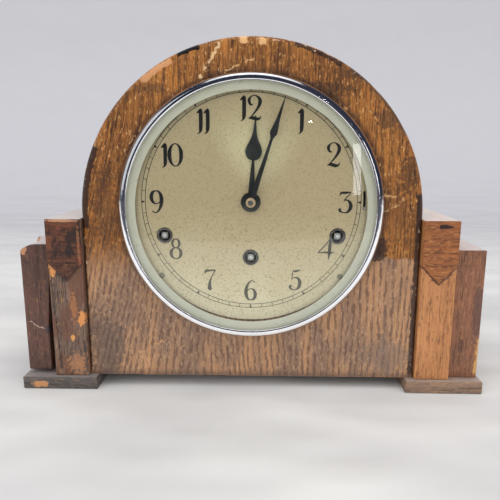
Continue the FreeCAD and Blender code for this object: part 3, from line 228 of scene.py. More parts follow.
# Lights
# An evenly lit room with broad lamps overhead and at both sides. What the chrome mirrors of it is dark on the
# camera's side, and a narrow window and a small bulb at the right show on the glass.
def lamp(name, spot, target, width, height, power):
    """Rectangular lamp at a spot, turned to its target; metres and watts."""
    data = bpy.data.lights.new(name, "AREA")
    data.shape = "RECTANGLE"
    data.size = width
    data.size_y = height
    data.energy = power
    made = bpy.data.objects.new(name, data)
    bpy.context.scene.collection.objects.link(made)
    made.location = spot
    made.rotation_mode = "QUATERNION"
    made.rotation_quaternion = (Vector(target) - Vector(spot)).to_track_quat("-Z", "Y")
    return made


middle = (0, face_y, 0.12)
lamp("overhead_lamp", (0.0, -0.35, 1.6), middle, 1.2, 0.8, 3)
lamp("window_lamp", (0.76, -1.37, 0.27), middle, 0.06, 0.38, 0.6)
lamp("bulb_lamp", (0.36, -1.25, 0.57), middle, 0.018, 0.018, 0.04)
lamp("left_lamp", (-1.6, -1.0, 0.85), middle, 1.8, 1.5, 6)
lamp("right_lamp", (1.6, -1.0, 0.85), middle, 1.8, 1.5, 4).visible_glossy = False
world = bpy.data.worlds.new("room")
world.use_nodes = True
bpy.context.scene.world = world


class Room(Finish):
    """The world's node tree, built with the same calls as a material."""

    def __init__(self, world):
        self.tree = world.node_tree
        self.tree.nodes.clear()


walls = Room(world)
back, height = walls.parts(walls.node("TexCoord", {}, "Generated"))[1:]
overhead = height.rise(0.93, 0.99)
behind = back.rise(0.1, 0.5)
mirrored_room = walls.mix(overhead, walls.mix(behind, (34, 36, 50), (190, 190, 196)), (216, 216, 220))
mirrored = walls.node("LightPath", {}, "Is Glossy Ray")
seen = walls.node("LightPath", {}, "Is Camera Ray")
wall_colour = walls.mix(seen, walls.mix(mirrored, (241, 241, 246), mirrored_room), (179, 179, 185))
walls.close(walls.node("Background", {"Color": wall_colour, "Strength": 1.4}), "World")


# Boards
# Every wooden piece is a board with softly broken edges. Its outline is a chain of arcs, joined by the straight
# runs between them, and the same chain drawn with a smaller radius gives the insets of its rounded edges.
def corners(points, radius):
    """Arcs for the corners of a convex outline that runs anticlockwise in X and Z: each arc's centre lies one
    radius inside both of its sides."""
    spots = np.array(points, float)
    run = np.roll(spots, -1, axis=0) - spots
    run /= np.linalg.norm(run, axis=1)[:, None]
    normal = np.stack([run[:, 1], -run[:, 0]], -1)
    before = np.roll(normal, 1, axis=0)
    centre = spots - radius * (before + normal) / (1 + (before * normal).sum(1))[:, None]
    start = np.arctan2(before[:, 1], before[:, 0])
    end = np.arctan2(normal[:, 1], normal[:, 0])
    end = start + (end - start) % (2 * math.pi)
    return [(centre[i], radius, start[i], end[i], 5) for i in range(len(spots))]


def towards(angle):
    """Unit vector at an angle from the first axis."""
    return np.array((math.cos(angle), math.sin(angle)))


def outline(arcs, inset, step):
    """Points of the chain of arcs, each drawn with its radius less the inset, with straight runs cut by the
    step."""
    points = []
    for number, (centre, radius, start, end, steps) in enumerate(arcs):
        turn = np.linspace(start, end, steps)
        arc = centre + (radius - inset) * np.stack([np.cos(turn), np.sin(turn)], -1)
        points.append(arc)
        next_centre, next_radius, next_start = arcs[(number + 1) % len(arcs)][:3]
        run = next_centre + next_radius * towards(next_start) - centre - radius * towards(end)
        count = max(1, round(float(np.linalg.norm(run)) / step))
        inner = next_centre + (next_radius - inset) * towards(next_start)
        share = np.arange(1, count)[:, None] / count
        points.append(arc[-1] + (inner - arc[-1]) * share)
    return np.concatenate(points)


def ripple(spots, size, seed):
    """Smooth unevenness from -1 to 1: the mean of six sine waves in seeded directions, about one size long."""
    draw = np.random.default_rng(seed)
    wave = draw.normal(size=(6, 3)) * (2 * math.pi / size / 1.7)
    phase = draw.uniform(0, 2 * math.pi, 6)
    return np.sin(spots @ wave.T + phase).mean(-1)


def board(arcs, depth0, depth1, edge, seed, step=3 * mm, worn=0.35):
    """Grid of a board: rings from the middle of its front, over the rounded front edge, along the side and over
    the back edge to the middle of its back. The edges are rubbed in by a share of the edge that wanders."""
    turn = np.linspace(0, math.pi / 2, 5)
    inset = edge * (1 - np.sin(turn))
    sink = edge * (1 - np.cos(turn))
    length = depth1 - depth0
    count = max(2, int(length / (4 * step)))
    side = np.linspace(depth0 + edge, depth1 - edge, count)
    insets = np.concatenate([inset, np.zeros(count - 2), inset[::-1]])
    depths = np.concatenate([depth0 + sink, side[1:-1], depth1 - sink[::-1]])
    rings = np.stack([outline(arcs, value, step) for value in insets])
    spots = np.stack([rings[..., 0], np.broadcast_to(depths[:, None], rings.shape[:2]), rings[..., 1]], -1)
    heart = spots[0].mean(0)
    outward = spots - spots.mean(1)[:, None]
    outward /= np.linalg.norm(outward, axis=2)[..., None]
    rub = np.maximum(0, ripple(spots, 14 * mm, seed)) ** 2
    rub += 0.5 * np.maximum(0, ripple(spots, 5 * mm, seed + 1)) ** 2
    near_edge = np.concatenate([np.sin(2 * turn), np.zeros(count - 2), np.sin(2 * turn)[::-1]])
    spots -= outward * (rub * near_edge[:, None] * worn * edge)[..., None]
    fills = []
    for ring in (spots[0], spots[-1]):
        core = np.array((heart[0], ring[0, 1], heart[2]))
        share = np.linspace(0, 1, 9)[:, None, None] ** 1.5
        fills.append(core + (ring - core) * share)
    return np.concatenate([fills[0][:-1], spots, fills[1][::-1][1:]])


def skin(name, *sheets, sharp=35):
    """One mesh of several grids of points, each rows by columns by 3. Rows and columns are joined by quads,
    columns run round to the start, doubled points are merged and the faces are turned outwards."""
    spots = np.concatenate([sheet.reshape(-1, 3) for sheet in sheets])
    quads = []
    first = 0
    for sheet in sheets:
        rows, columns = sheet.shape[:2]
        index = first + np.arange(rows * columns).reshape(rows, columns)
        after = np.roll(index, -1, axis=1)
        quads.append(np.stack([index[:-1], after[:-1], after[1:], index[1:]], -1).reshape(-1, 4))
        first += rows * columns
    made = form_of(name, spots, np.concatenate(quads))
    form = bmesh.new()
    form.from_mesh(made.data)
    bmesh.ops.remove_doubles(form, verts=form.verts, dist=1e-7)
    bmesh.ops.dissolve_degenerate(form, edges=form.edges, dist=1e-7)
    bmesh.ops.recalc_face_normals(form, faces=form.faces)
    form.to_mesh(made.data)
    form.free()
    made.data.shade_smooth()
    made.data.set_sharp_from_angle(angle=math.radians(sharp))
    return made


def place(made, body, slot, material, *replaced):
    """Puts a finished piece with its material on its body, in place of CAD nodes. The slot is not used."""
    made.data.materials.clear()
    made.data.materials.append(material)
    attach(made, body)
    if replaced:
        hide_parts(*replaced)


def oak(name, seed, light, dark, pore, along="Z", gloss=0.42, patches=(), fleck=0.5, spread=1.0, lean=None,
        pale=(206, 150, 84), dust_and_sheen_amount=1.0):
    """Aged oak: long streaks along the grain, dark pores in short dashes, pale rubbed flecks, pale dust on what
    faces up that is also painted sheen of the pale room on polished tops, and patches, each a share and a colour
    worked out by a function of the finish."""
    f = Finish(name)
    axis = "XYZ".index(along)

    def stretched(across, length):
        scale = [across] * 3
        scale[axis] = length
        return tuple(scale)

    spot = f.shifted(lean(f)) if lean else f.where
    bend = f.noise(stretched(30.0, 8.0), 2.0, seed, spot) * 0.004
    wavy = f.node("VectorMath", {0: spot, 1: bend}, operation="ADD")
    fine = f.noise(stretched(860.0, 46.0), 4.0, seed + 1.3, wavy, 0.65)
    broad = f.noise(stretched(230.0, 14.0), 3.0, seed + 2.1, wavy)
    dash = f.noise(stretched(1250.0, 95.0), 2.0, seed + 3.7, wavy)
    blotch = f.noise(26.0, 4.0, seed + 4.9)
    streak = (fine * 0.65 + broad * 0.45 - 0.05).rise(0.5 - 0.14 * spread, 0.5 + 0.14 * spread)
    hair = f.noise(stretched(860.0, 80.0), 3.0, seed + 7.0, wavy)
    dashes = dash.rise(0.54, 0.66) * broad.rise(0.3, 0.6)
    glint = f.noise(stretched(820.0, 260.0), 2.0, seed + 9.4)
    pits = f.noise(stretched(820.0, 240.0), 2.0, seed + 12.6)
    height = fine * 0.4 - dashes * 0.6
    rough = gloss + blotch * 0.15 + dashes * 0.1
    upward = f.parts(f.node("NewGeometry", {}, "Normal"))[2]
    # painted sheen: what faces up is painted pale, partly dust and partly a painted reflection of the pale room
    dust_and_sheen = upward.rise(0.85, 0.99) * (0.55 + blotch * 0.35) * dust_and_sheen_amount
    colour = f.layered(light, (blotch.rise(0.35, 0.7) * 0.6, dark), (streak * 0.8, dark),
                       (hair.rise(0.52, 0.66) * 0.6, light), (dashes * 0.75, pore),
                       (glint.rise(0.56, 0.70) * fleck * 0.75, pale), (pits.rise(0.57, 0.70) * 0.6, pore),
                       *(patch(f) for patch in patches), (dust_and_sheen, (214, 206, 202)))
    return f.surface(colour, rough, (height, 0.0004, 0.7),
                     {"Specular IOR Level": 0.35, "Coat Weight": 0.12, "Coat Roughness": 0.3})


def between(channel, low, high, soft):
    """1 between low and high, with soft edges."""
    return channel.rise(low - soft, low + soft) * channel.rise(high + soft, high - soft)


def spot_patch(x, z, half_x, half_z, colour, share=1.0, ragged=0.5, deep=14):
    """Ragged oval patch at a place on the front, which goes a little way back round the edges; lengths in mm."""
    x, z, half_x, half_z, deep = np.array((x, z, half_x, half_z, deep)) * mm

    def patch(f):
        torn = (f.noise(420.0, 3.0, x * 100) - 0.5) * ragged * 3
        reach = (((f.x - x) / half_x) ** 2 + ((f.z - z) / half_z) ** 2) ** 0.5 + torn
        return reach.rise(1.15, 0.85) * f.y.rise(face_y + deep + 2 * mm, face_y + deep) * share, colour
    return patch


def each(kind, *rows):
    """Patches of one kind, one for each row of its values."""
    return [kind(*row) for row in rows]


# Front panel
# A half-round board of veneered oak, 12 mm thick, with its front edge rounded over and a round hole behind the
# dial. Its veneer is golden and scratched above and greyer below, with chips at the top, a rubbed dark edge, and
# painted shade down its sides where they meet the pilasters.
half_width = panel_high.x
foot_top = panel_low.z
arch_z = panel_high.z - half_width


def middle_of(node):
    """X and Z of the middle of a node's box."""
    low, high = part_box(node)
    return (low.x + high.x) / 2, (low.z + high.z) / 2


bezel_z = middle_of("bezel_glass")[1]
hole_radius = 73 * mm
edge_round = 3 * mm


def arch_reach(turn, half, bottom, spring, centre_z):
    """Distance from a centre on the axis to an arch's outline, for clock angles in radians."""
    sine = np.sin(turn)
    cosine = np.cos(turn)
    up_to_spring = centre_z - spring
    to_round = -up_to_spring * cosine + np.sqrt(half ** 2 - (up_to_spring * sine) ** 2)
    z = centre_z + to_round * cosine
    with np.errstate(divide="ignore"):
        to_side = np.where(np.abs(sine) > 1e-9, half / np.abs(sine), 1e9)
        to_foot = np.where(cosine < -1e-9, (bottom - centre_z) / cosine, 1e9)
    return np.minimum(np.where(z >= spring, to_round, to_side), to_foot)


corner_turn = math.atan2(half_width, foot_top - bezel_z)
turns = np.linspace(-math.pi, math.pi, 720, endpoint=False)
turns = np.sort(np.concatenate([turns, [corner_turn, -corner_turn]]))
reach = arch_reach(turns, half_width, foot_top, arch_z, bezel_z)
quarter = np.linspace(0, math.pi / 2, 7)
above_foot = np.clip((bezel_z + reach * np.cos(turns) - foot_top) / (4 * mm), 0, 1)
rounding = edge_round * above_foot
front_rows = 40
front_share = np.linspace(0, 1, front_rows)[:, None]
level_line = np.ones_like(reach)
thick = panel_high.y - panel_low.y
rims = np.concatenate([hole_radius + (reach - rounding - hole_radius) * front_share,
                       reach - rounding * (1 - np.sin(quarter[1:, None])),
                       [reach, reach, level_line * hole_radius, level_line * hole_radius]])
sinks = np.concatenate([level_line * front_share * 0, rounding * (1 - np.cos(quarter[1:, None])),
                        [level_line * thick * 0.6, level_line * thick, level_line * thick, level_line * 0]])
panel_grid = np.stack([rims * np.sin(turns), face_y + sinks, bezel_z + rims * np.cos(turns)], -1)
rubbed = np.maximum(0, ripple(panel_grid, 16 * mm, 5)) ** 2 * 0.7 * mm
edge_rows = slice(front_rows - 2, front_rows + len(quarter))
outwards = np.stack([np.sin(turns), 0 * turns, np.cos(turns)], -1)
panel_grid[edge_rows] -= rubbed[edge_rows, :, None] * outwards


def arch_inset(f):
    """Distance inwards from the arch's edge, and from its upright sides."""
    over = (f.z - arch_z).most(0.0)
    return half_width - (f.x * f.x + over * over) ** 0.5


def edge_patch(angle0, angle1, inset0, inset1, colour, share=1.0, low=0.0):
    """Ragged patch along the arch's edge between two clock angles in degrees and two insets in mm, above a
    height in mm."""
    inset0, inset1, low = np.array((inset0, inset1, low)) * mm

    def patch(f):
        torn = (f.noise(300.0, 3.0, angle0 * 0.01) - 0.5) * 4 * mm
        inset = arch_inset(f) + torn
        over = (f.z - arch_z).most(0.0)
        angle = f.x.clock_angle(over) * (180 / math.pi) + torn * 300
        mask = between(angle, angle0, angle1, 0.5) * between(inset, inset0, inset1, 0.4 * mm)
        return mask * f.z.rise(low, low + 3 * mm) * share, colour
    return patch


def scratch(x0, z0, x1, z1, half, colour, share=0.9, broken=0.5):
    """Broken line from one place on the front to another; lengths in mm."""
    x0, z0, x1, z1, half = np.array((x0, z0, x1, z1, half)) * mm
    length = math.hypot(x1 - x0, z1 - z0)
    run_x = (x1 - x0) / length
    run_z = (z1 - z0) / length

    def patch(f):
        torn = f.noise(350.0, 3.0, x0 * 50) - 0.5
        along = (f.x - x0) * run_x + (f.z - z0) * run_z
        across = abs((f.x - x0) * run_z - (f.z - z0) * run_x + torn * 5 * mm)
        gaps = f.noise(240.0, 2.0, z0 * 70).rise(broken - 0.06, broken + 0.06)
        near_front = f.y.rise(face_y + 16 * mm, face_y + 14 * mm)
        line = between(along, 0, length, 1 * mm) * across.rise(half * 1.4, half * 0.6)
        return line * gaps * near_front * share, colour
    return patch


def cathedral(f):
    """Leans the grain at the lower left, where the veneer was cut nearer the heart."""
    return (f.z - 70 * mm) * ((0 - f.x) / (110 * mm)).rise(0.05, 0.9) * -0.22


def lower_veneer(f):
    """The greyer, duller lower half, with a sharp line at the right and a slow change at the left."""
    border = 95 * mm + (f.noise(60.0, 2.0, 3.3) - 0.5) * 8 * mm
    blend = 2.5 * mm + (0.0 - f.x).most(0.0) * 0.3
    share = ((border - f.z) / blend + 0.5).rise(0.0, 1.0)
    lean = cathedral(f)
    leant = f.shifted(lean)
    wander = f.noise((11.0, 11.0, 4.0), 2.0, 4.0, leant) * 0.03
    wander = wander + f.noise((150.0, 150.0, 90.0), 2.0, 4.0, leant) * 0.0035
    ring_gap = 4.1 * mm
    turns_along = (f.x + lean + wander) * (2 * math.pi / ring_gap)
    rings = turns_along.sine()
    breaks = f.noise((640.0, 640.0, 110.0), 3.0, 5.0, leant, 0.6)
    lines = (rings * 0.42 + breaks * 2.4 - 1.06).rise(0.1, 0.6)
    bands = f.noise((60.0, 60.0, 14.0), 3.0, 8.0, leant).rise(0.4, 0.62)
    grit = f.noise((820.0, 820.0, 300.0), 2.0, 11.0).rise(0.52, 0.66)
    # darker along the bottom 6 mm of the panel
    darker_at_foot = f.z.rise(foot_top + 6 * mm, foot_top + 1 * mm) * 0.6
    return share * 0.92, f.layered((174, 131, 94), (bands, (131, 104, 85)), (lines * 0.8, (92, 68, 56)),
                                   (grit * 0.35, (206, 168, 130)), (darker_at_foot, (74, 60, 54)))


def bezel_grime(f):
    """Dark dirt packed round the bezel."""
    torn = (f.noise(120.0, 3.0, 6.1) - 0.5) * 6 * mm
    near_rim = (f.radius(0.0, bezel_z) + torn).rise(94 * mm, 89 * mm)
    return near_rim * f.z.rise(60 * mm, 110 * mm) * 0.75, (62, 36, 22)


def edge_nicks(f):
    """Small pale nicks where the arch's edge was knocked."""
    inset = arch_inset(f)
    knocks = f.noise(420.0, 3.0, 31.0).rise(0.6, 0.64) * f.noise(30.0, 2.0, 33.0).rise(0.45, 0.6)
    return inset.rise(3.4 * mm, 1.8 * mm) * knocks * 0.8, (222, 196, 164)


def rubbed_flecks(f):
    """Small pale nicks all over the polish, thicker above."""
    nicks = f.noise((820.0, 820.0, 330.0), 2.0, 33.0).rise(0.655, 0.70)
    return nicks * (0.35 + 0.4 * f.z.rise(100 * mm, 150 * mm)), (214, 166, 104)


chip_wood = (216, 168, 112)
dark_wear_and_joint_shade = (44, 26, 20)
panel_patches = [
    lower_veneer, bezel_grime, rubbed_flecks,
    # painted shade: rows 82 to 90.5 and -90.5 to -84 degrees darken the sides where the panel meets the pilasters
    *each(edge_patch, (-90.5, -66, -1, 5, dark_wear_and_joint_shade, 0.9, 114), (82, 90.5, -1, 4.4, dark_wear_and_joint_shade, 0.9, 10),
          (-90.5, -84, -1, 1.6, dark_wear_and_joint_shade, 0.8, 10), (14, 31, 1.0, 3.6, dark_wear_and_joint_shade, 0.85),
          (34, 62, -1, 2.4, (74, 56, 42), 0.6), (-24.5, -17, -1, 3.0, (20, 14, 14), 1.0),
          (-3.6, -1.1, 0.2, 4.6, chip_wood), (2.5, 5.0, 1.2, 5.2, chip_wood),
          (-39, -27, 1.0, 4.6, (204, 146, 96), 0.9)),
    *each(spot_patch, (85, 102, 8, 9, (46, 24, 16), 0.85), (76, 133, 4, 14, (20, 18, 22), 1.0, 0.0),
          (-54.5, 58.5, 1.3, 1.3, (20, 12, 10), 1.0, 0.1)),
    *each(scratch, (-20, 236, -33, 214, 0.9, (226, 190, 140), 0.9, 0.42),
          (-24, 216, 2, 226, 0.5, chip_wood, 0.8), (-72, 184, -84, 168, 0.5, chip_wood, 0.6),
          (74, 196, 82, 188, 0.5, chip_wood, 0.6), (-98, 134, -103, 118, 0.4, chip_wood, 0.6),
          (-60, 36, -80, 26, 0.9, (200, 150, 104), 0.7, 0.45)),
    *each(spot_patch, (-99, 128, 8, 26, (70, 44, 28), 0.5, 0.9), (46, 207, 17, 5, (60, 38, 24), 0.6, 1.1),
          (97, 126, 9, 20, (74, 44, 26), 0.42, 1.3), (105, 152, 5, 13, (54, 32, 20), 0.65, 1.1),
          (90, 190, 8, 6, (66, 46, 32), 0.55, 1.3), (66, 217, 9, 4, (66, 46, 32), 0.55, 1.3),
          (-66, 208, 12, 3, (66, 46, 32), 0.4, 1.3)),
    edge_nicks,
    *each(scratch, (88, 139, 104, 136, 0.8, chip_wood, 0.7), (90, 128, 100, 133, 0.5, chip_wood, 0.6)),
    *each(spot_patch, (-102, 28, 11, 24, (78, 64, 58), 0.55, 1.2), (96, 24, 16, 12, (112, 98, 88), 0.5, 0.8)),
]
panel_oak = oak("panel_oak", 1.0, (182, 115, 42), (86, 48, 16), (38, 22, 12), "Z", 0.36, panel_patches, 0.75,
                0.7, cathedral)
place(skin("panel_board", panel_grid), "case", "case_oak", panel_oak, "front_panel")


# Case shell
# The bent body behind the panel: thin plywood, veneered in oak and polished, glued round the base and the frame
# of the back. Its outside shows at the top and above the wings.
shell_low, shell_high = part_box("case_shell")
shell_wall = 5 * mm
shell_reach = arch_reach(turns, half_width, foot_top, arch_z, arch_z)
shell_inset = np.array([0, 0, shell_wall, shell_wall, 0])[:, None]
shell_depth = np.array([shell_low.y, shell_high.y, shell_high.y, shell_low.y, shell_low.y])[:, None]
shell_radius = shell_reach - shell_inset
shell_grid = np.stack([shell_radius * np.sin(turns), shell_depth + 0 * turns,
                       arch_z + shell_radius * np.cos(turns)], -1)


def polish_wear(f):
    """Rubbed, duller stain along the top of the arch."""
    dull = f.noise((40.0, 12.0, 40.0), 3.0, 2.0).rise(0.4, 0.6) * 0.5
    return f.z.rise(200 * mm, 238 * mm) * dull, (150, 108, 72)


def dress(node, material):
    """Gives a CAD node that keeps its own shape a better material."""
    shape = nodes[node]
    if not shape.material_slots:
        shape.data.materials.append(material)
    for held in shape.material_slots:
        held.material = material


shell_oak = oak("shell_oak", 21.0, (124, 80, 46), (82, 50, 28), (50, 30, 20), "Y", 0.34, [polish_wear], 0.3,
                dust_and_sheen_amount=0.15)
place(skin("shell_board", shell_grid), "case", "case_oak", shell_oak, "case_shell")
frame_oak = oak("frame_oak", 31.0, (112, 76, 48), (78, 50, 32), (48, 30, 22), "Z", 0.5, (), 0.2)
base_oak = oak("base_oak", 41.0, (146, 112, 78), (110, 82, 56), (70, 50, 36), "X", 0.7, (), 0.0)
dress("back_frame", frame_oak)
dress("base_board", base_oak)


# Wings
# A pilaster with a pointed overlay and a lower outer block stand on each side, glued to the case, on a foot that
# runs under both. The left side is darker and blotched, and its outer block is loose, lifted and chipped.
edge_soft = 0.9 * mm


def square_corners(low, high):
    """Corner arcs of a board that fills a box."""
    return corners([(low.x, low.z), (high.x, low.z), (high.x, high.z), (low.x, high.z)], edge_soft)


def block_board(node, name, seed, worn=0.35):
    """Board that fills a node's box."""
    low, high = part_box(node)
    return skin(name, board(square_corners(low, high), low.y, high.y, edge_soft, seed, worn=worn))


def blotches(scale, detail, shift, start, end, share, colour):
    """Cloudy patches all over a board."""
    return lambda f: (f.noise(scale, detail, shift).rise(start, end) * share, colour)


tongue_point = 12.6 * mm


def point_lines(tongue, colour):
    """Dark lines under the two slopes of a tongue: glue lines, with painted shadow of the raised tongue."""
    low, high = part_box(tongue)
    centre = middle_of(tongue)[0] / mm
    under = low.z / mm - 0.9
    over = under + tongue_point / mm
    # painted shadow: dark lines under the raised tongue's slopes, partly glue
    return [scratch(low.x / mm, over, centre, under, 0.8, colour, 0.95, 0.1),
            scratch(centre, under, high.x / mm, over, 0.8, colour, 0.95, 0.1)]


right_pilaster_wear_and_shade = [
    *point_lines("right_tongue", (84, 52, 38)),
    scratch(135, 86, 134, 14, 0.5, (120, 76, 48), 0.7),
]
right_pilaster_oak = oak("right_pilaster_oak", 51.0, (198, 138, 86), (164, 108, 64), (103, 66, 40), "Z", 0.36,
                         right_pilaster_wear_and_shade, 0.3, 0.9)
left_pilaster_wear_and_shade = [
    *point_lines("left_tongue", (60, 54, 54)),
    blotches((70.0, 70.0, 40.0), 3.0, 12.0, 0.52, 0.6, 0.7, (104, 66, 46)),
    *each(spot_patch, (-118.5, 52, 2.6, 5, (214, 142, 78), 0.9, 0.9),
          (-126, 37.5, 1.4, 2.6, (214, 150, 84), 0.9, 0.6), (-124, 60, 1.8, 11, (172, 112, 68), 0.6, 1.4),
          (-122, 18, 7, 6, (176, 120, 76), 0.6, 1.8), (-137.5, 88, 3, 5, (216, 146, 80), 0.9, 0.7)),
    *each(scratch, (-139, 90, -135, 14, 0.5, (34, 24, 22), 0.8, 0.4),
          (-118, 36, -117, 12, 0.9, (60, 48, 46), 0.8, 0.3)),
]
left_pilaster_oak = oak("left_pilaster_oak", 61.0, (134, 105, 85), (88, 72, 64), (46, 34, 30), "Z", 0.5,
                        left_pilaster_wear_and_shade, 0.4, 1.2)
for node, finish in (("left_pilaster", left_pilaster_oak), ("right_pilaster", right_pilaster_oak)):
    place(block_board(node, node + "_board", 7), "case", "wing_oak", finish, node)

right_block_wear = [
    *each(scratch, (161.5, 40, 159.5, 12, 1.3, (196, 150, 88), 0.9, 0.0),
          (150, 84, 158, 90, 0.4, (190, 140, 104), 0.6)),
    spot_patch(158, 58, 3, 22, (86, 62, 56), 0.7, 0.6),
]
right_block_oak = oak("right_block_oak", 71.0, (154, 102, 72), (110, 74, 54), (63, 42, 34), "Z", 0.5,
                      right_block_wear, 0.3)
left_block_wear = [
    scratch(-158, 48, -142, 40, 0.35, (200, 176, 160), 0.7, 0.3),
    *each(spot_patch, (-144.5, 42, 2.6, 3, (58, 50, 50), 0.9, 0.3),
          (-159.5, 100.5, 3.4, 3.4, (184, 132, 98), 0.9, 0.4, 32)),
]
left_block_oak = oak("left_block_oak", 81.0, (101, 69, 58), (72, 49, 42), (44, 29, 27), "Z", 0.52,
                     left_block_wear, 0.2)
right_block = block_board("right_end_block", "right_outer_board", 9)
place(right_block, "case", "wing_oak", right_block_oak, "right_end_block")

left_low, left_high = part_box("left_end_block")
chip_along = np.array((0, 2.25, 9)) * mm
chip_drop = np.array((5.5, 2.75, 0)) * mm
chip_back = 30 * mm
lean_most = 4.4 * mm
lean_top = 96 * mm
lean_run = 50 * mm
lean_width = 12 * mm
block_grid = board(square_corners(left_low, left_high), left_low.y, left_high.y, edge_soft, 13, 1.2 * mm, 0.5)
broken_z = left_high.z - np.interp(block_grid[..., 0] - left_low.x, chip_along, chip_drop)
broken_z = broken_z + 0.35 * mm * ripple(block_grid, 3 * mm, 21)
from_inside = left_high.x - block_grid[..., 0]
lean_in = lean_most * np.clip((lean_top - block_grid[..., 2]) / lean_run, 0, 1)
block_grid[..., 0] -= lean_in * np.clip(1 - from_inside / lean_width, 0, 1)
in_chip = block_grid[..., 1] < face_y + chip_back
block_grid[..., 2] = np.where(in_chip, np.minimum(block_grid[..., 2], broken_z), block_grid[..., 2])
place(skin("left_outer_board", block_grid), "case", "wing_oak", left_block_oak, "left_end_block")

right_tongue_oak = oak("right_tongue_oak", 91.0, (166, 99, 49), (114, 66, 35), (71, 39, 22), "X", 0.36,
                       [spot_patch(130, 118.5, 5, 1.4, (36, 24, 26), 0.95, 0.5)], 0.5, 1.2)
left_tongue_wear = [
    blotches((130.0, 130.0, 70.0), 4.0, 3.0, 0.5, 0.58, 0.75, (40, 28, 26)),
    blotches((150.0, 150.0, 80.0), 4.0, 9.0, 0.56, 0.62, 0.7, (122, 66, 44)),
    *each(spot_patch, (-128, 121.5, 11, 1.0, (188, 140, 104), 0.8, 0.5),
          (-117.5, 104, 0.9, 12, (150, 96, 58), 0.6, 1.2), (-124, 100, 3, 4, (34, 24, 26), 0.8, 0.8)),
]
left_tongue_oak = oak("left_tongue_oak", 101.0, (110, 62, 38), (60, 33, 24), (29, 17, 15), "X", 0.42,
                      left_tongue_wear, 0.15, 1.0)
tongue_edge = 0.4 * mm
for node, finish in (("left_tongue", left_tongue_oak), ("right_tongue", right_tongue_oak)):
    low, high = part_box(node)
    shoulder = low.z + tongue_point
    points = [(middle_of(node)[0], low.z), (high.x, shoulder), (high.x, high.z), (low.x, high.z),
              (low.x, shoulder)]
    grid = board(corners(points, tongue_edge), low.y, high.y, tongue_edge, 17, 2 * mm, 0.4)
    place(skin(node + "_board", grid), "case", "wing_oak", finish, node)

right_foot_oak = oak("right_foot_oak", 111.0, (149, 121, 98), (114, 92, 75), (66, 52, 44), "X", 0.6, (), 0.3,
                     dust_and_sheen_amount=0.35)
left_foot_oak = oak("left_foot_oak", 121.0, (98, 90, 84), (70, 65, 62), (43, 39, 39), "X", 0.6,
                    [spot_patch(-150, 3.6, 6, 2.4, (190, 136, 88), 0.9, 0.6)], 0.3, dust_and_sheen_amount=0.3)
for node, finish in (("left_foot", left_foot_oak), ("right_foot", right_foot_oak)):
    place(block_board(node, node + "_board", 23, 0.6), "case", "wing_oak", finish, node)


# Bezel
# A rim rolled from brass sheet and chromed, hollow behind and hinged at the right. It holds a domed glass, and a
# painted ring that slopes from the glass to the dial.
def turned(profile, centre_z, steps=240, centre_x=0.0):
    """Grid of a turned surface: each profile point, a radius and a depth behind the panel's face in mm, goes
    round an axis along Y."""
    radius, depth = np.array(profile, float).T * mm
    turn = np.linspace(0, 2 * math.pi, steps, endpoint=False)
    x = centre_x + radius[:, None] * np.sin(turn)
    z = centre_z + radius[:, None] * np.cos(turn)
    return np.stack([x, np.broadcast_to(face_y + depth[:, None], x.shape), z], -1)


def arc(radius0, depth0, radius1, depth1, steps):
    """Quarter of an ellipse between two profile points, bulging out from the axis or towards the viewer."""
    turn = np.linspace(0, math.pi / 2, steps)
    return [(radius1 + (radius0 - radius1) * math.cos(t), depth0 + (depth1 - depth0) * math.sin(t)) for t in turn]


rim_profile = [(88.9, -0.2), (88.9, -1.6), *arc(88.9, -2.6, 84.4, -7.9, 20), (84.0, -7.86), (83.6, -7.6),
               (83.25, -7.75), (83.02, -7.5), (83.0, -7.15), (84.4, -7.1), (84.4, -3.6), (85.2, -3.6),
               (85.2, -5.6), (87.0, -4.4), (88.1, -2.7), (88.1, -0.2), (88.9, -0.2)]
rim_grid = turned(rim_profile, bezel_z, 360)
from_hinge = np.abs(rim_grid[..., 2] - bezel_z)
leaf_half = 6.8 * mm
plate_half = 16 * mm
hinge_side = 85 * mm
relief = np.where(from_hinge < leaf_half, -3.6 * mm, np.where(from_hinge < plate_half, -1.5 * mm, 1.0))
cut_back = np.minimum(rim_grid[..., 1], face_y + relief)
rim_grid[..., 1] = np.where(rim_grid[..., 0] > hinge_side, cut_back, rim_grid[..., 1])
chrome = Finish("chrome")
pits = chrome.noise(500.0, 2.0, 1.0).rise(0.68, 0.76)
smear = chrome.noise(60.0, 3.0, 2.0)
chrome_colour = chrome.layered((238, 239, 241), (smear, (222, 224, 229)), (pits * 0.5, (120, 112, 100)))
chrome_look = chrome.surface(chrome_colour, 0.07 + smear * 0.1 + pits * 0.3, (smear + pits * -0.2, 0.0006, 0.5),
                             {"Metallic": 1.0})
place(skin("bezel_ring", rim_grid, sharp=50), "bezel", "bezel_chrome", chrome_look, "bezel_rim")

glass_radius = 84.2
glass_thick = 1.5
glass_rise = 8.0
glass_front = -6.6


def dome_profile(edge_depth):
    """Profile of a sphere's cap from its edge in to the axis."""
    ball = (glass_radius ** 2 + glass_rise ** 2) / (2 * glass_rise)
    radii = np.linspace(glass_radius, 0, 28)
    depths = edge_depth - (np.sqrt(ball ** 2 - radii ** 2) - (ball - glass_rise))
    return np.stack([radii, depths], -1).tolist()


glass_profile = dome_profile(glass_front)[::-1] + dome_profile(glass_front + glass_thick)
glass = Finish("glass")
clear = glass.node("BsdfTransparent", {"Color": (0.985, 0.995, 0.985, 1.0)})
mirror = glass.node("BsdfGlossy", {"Color": (1.0, 1.0, 1.0, 1.0), "Roughness": 0.02})
from_behind = glass.node("NewGeometry", {}, "Backfacing")
edge_on = glass.node("Fresnel", {"IOR": 1.45}) * (1 - from_behind)
glass.close(glass.node("MixShader", {0: edge_on, 1: clear, 2: mirror}))
glass.material.blend_method = "BLEND"
dome = skin("glass_dome", turned(glass_profile, bezel_z, 180), sharp=50)
place(dome, "bezel", "clock_glass", glass.material, "bezel_glass")

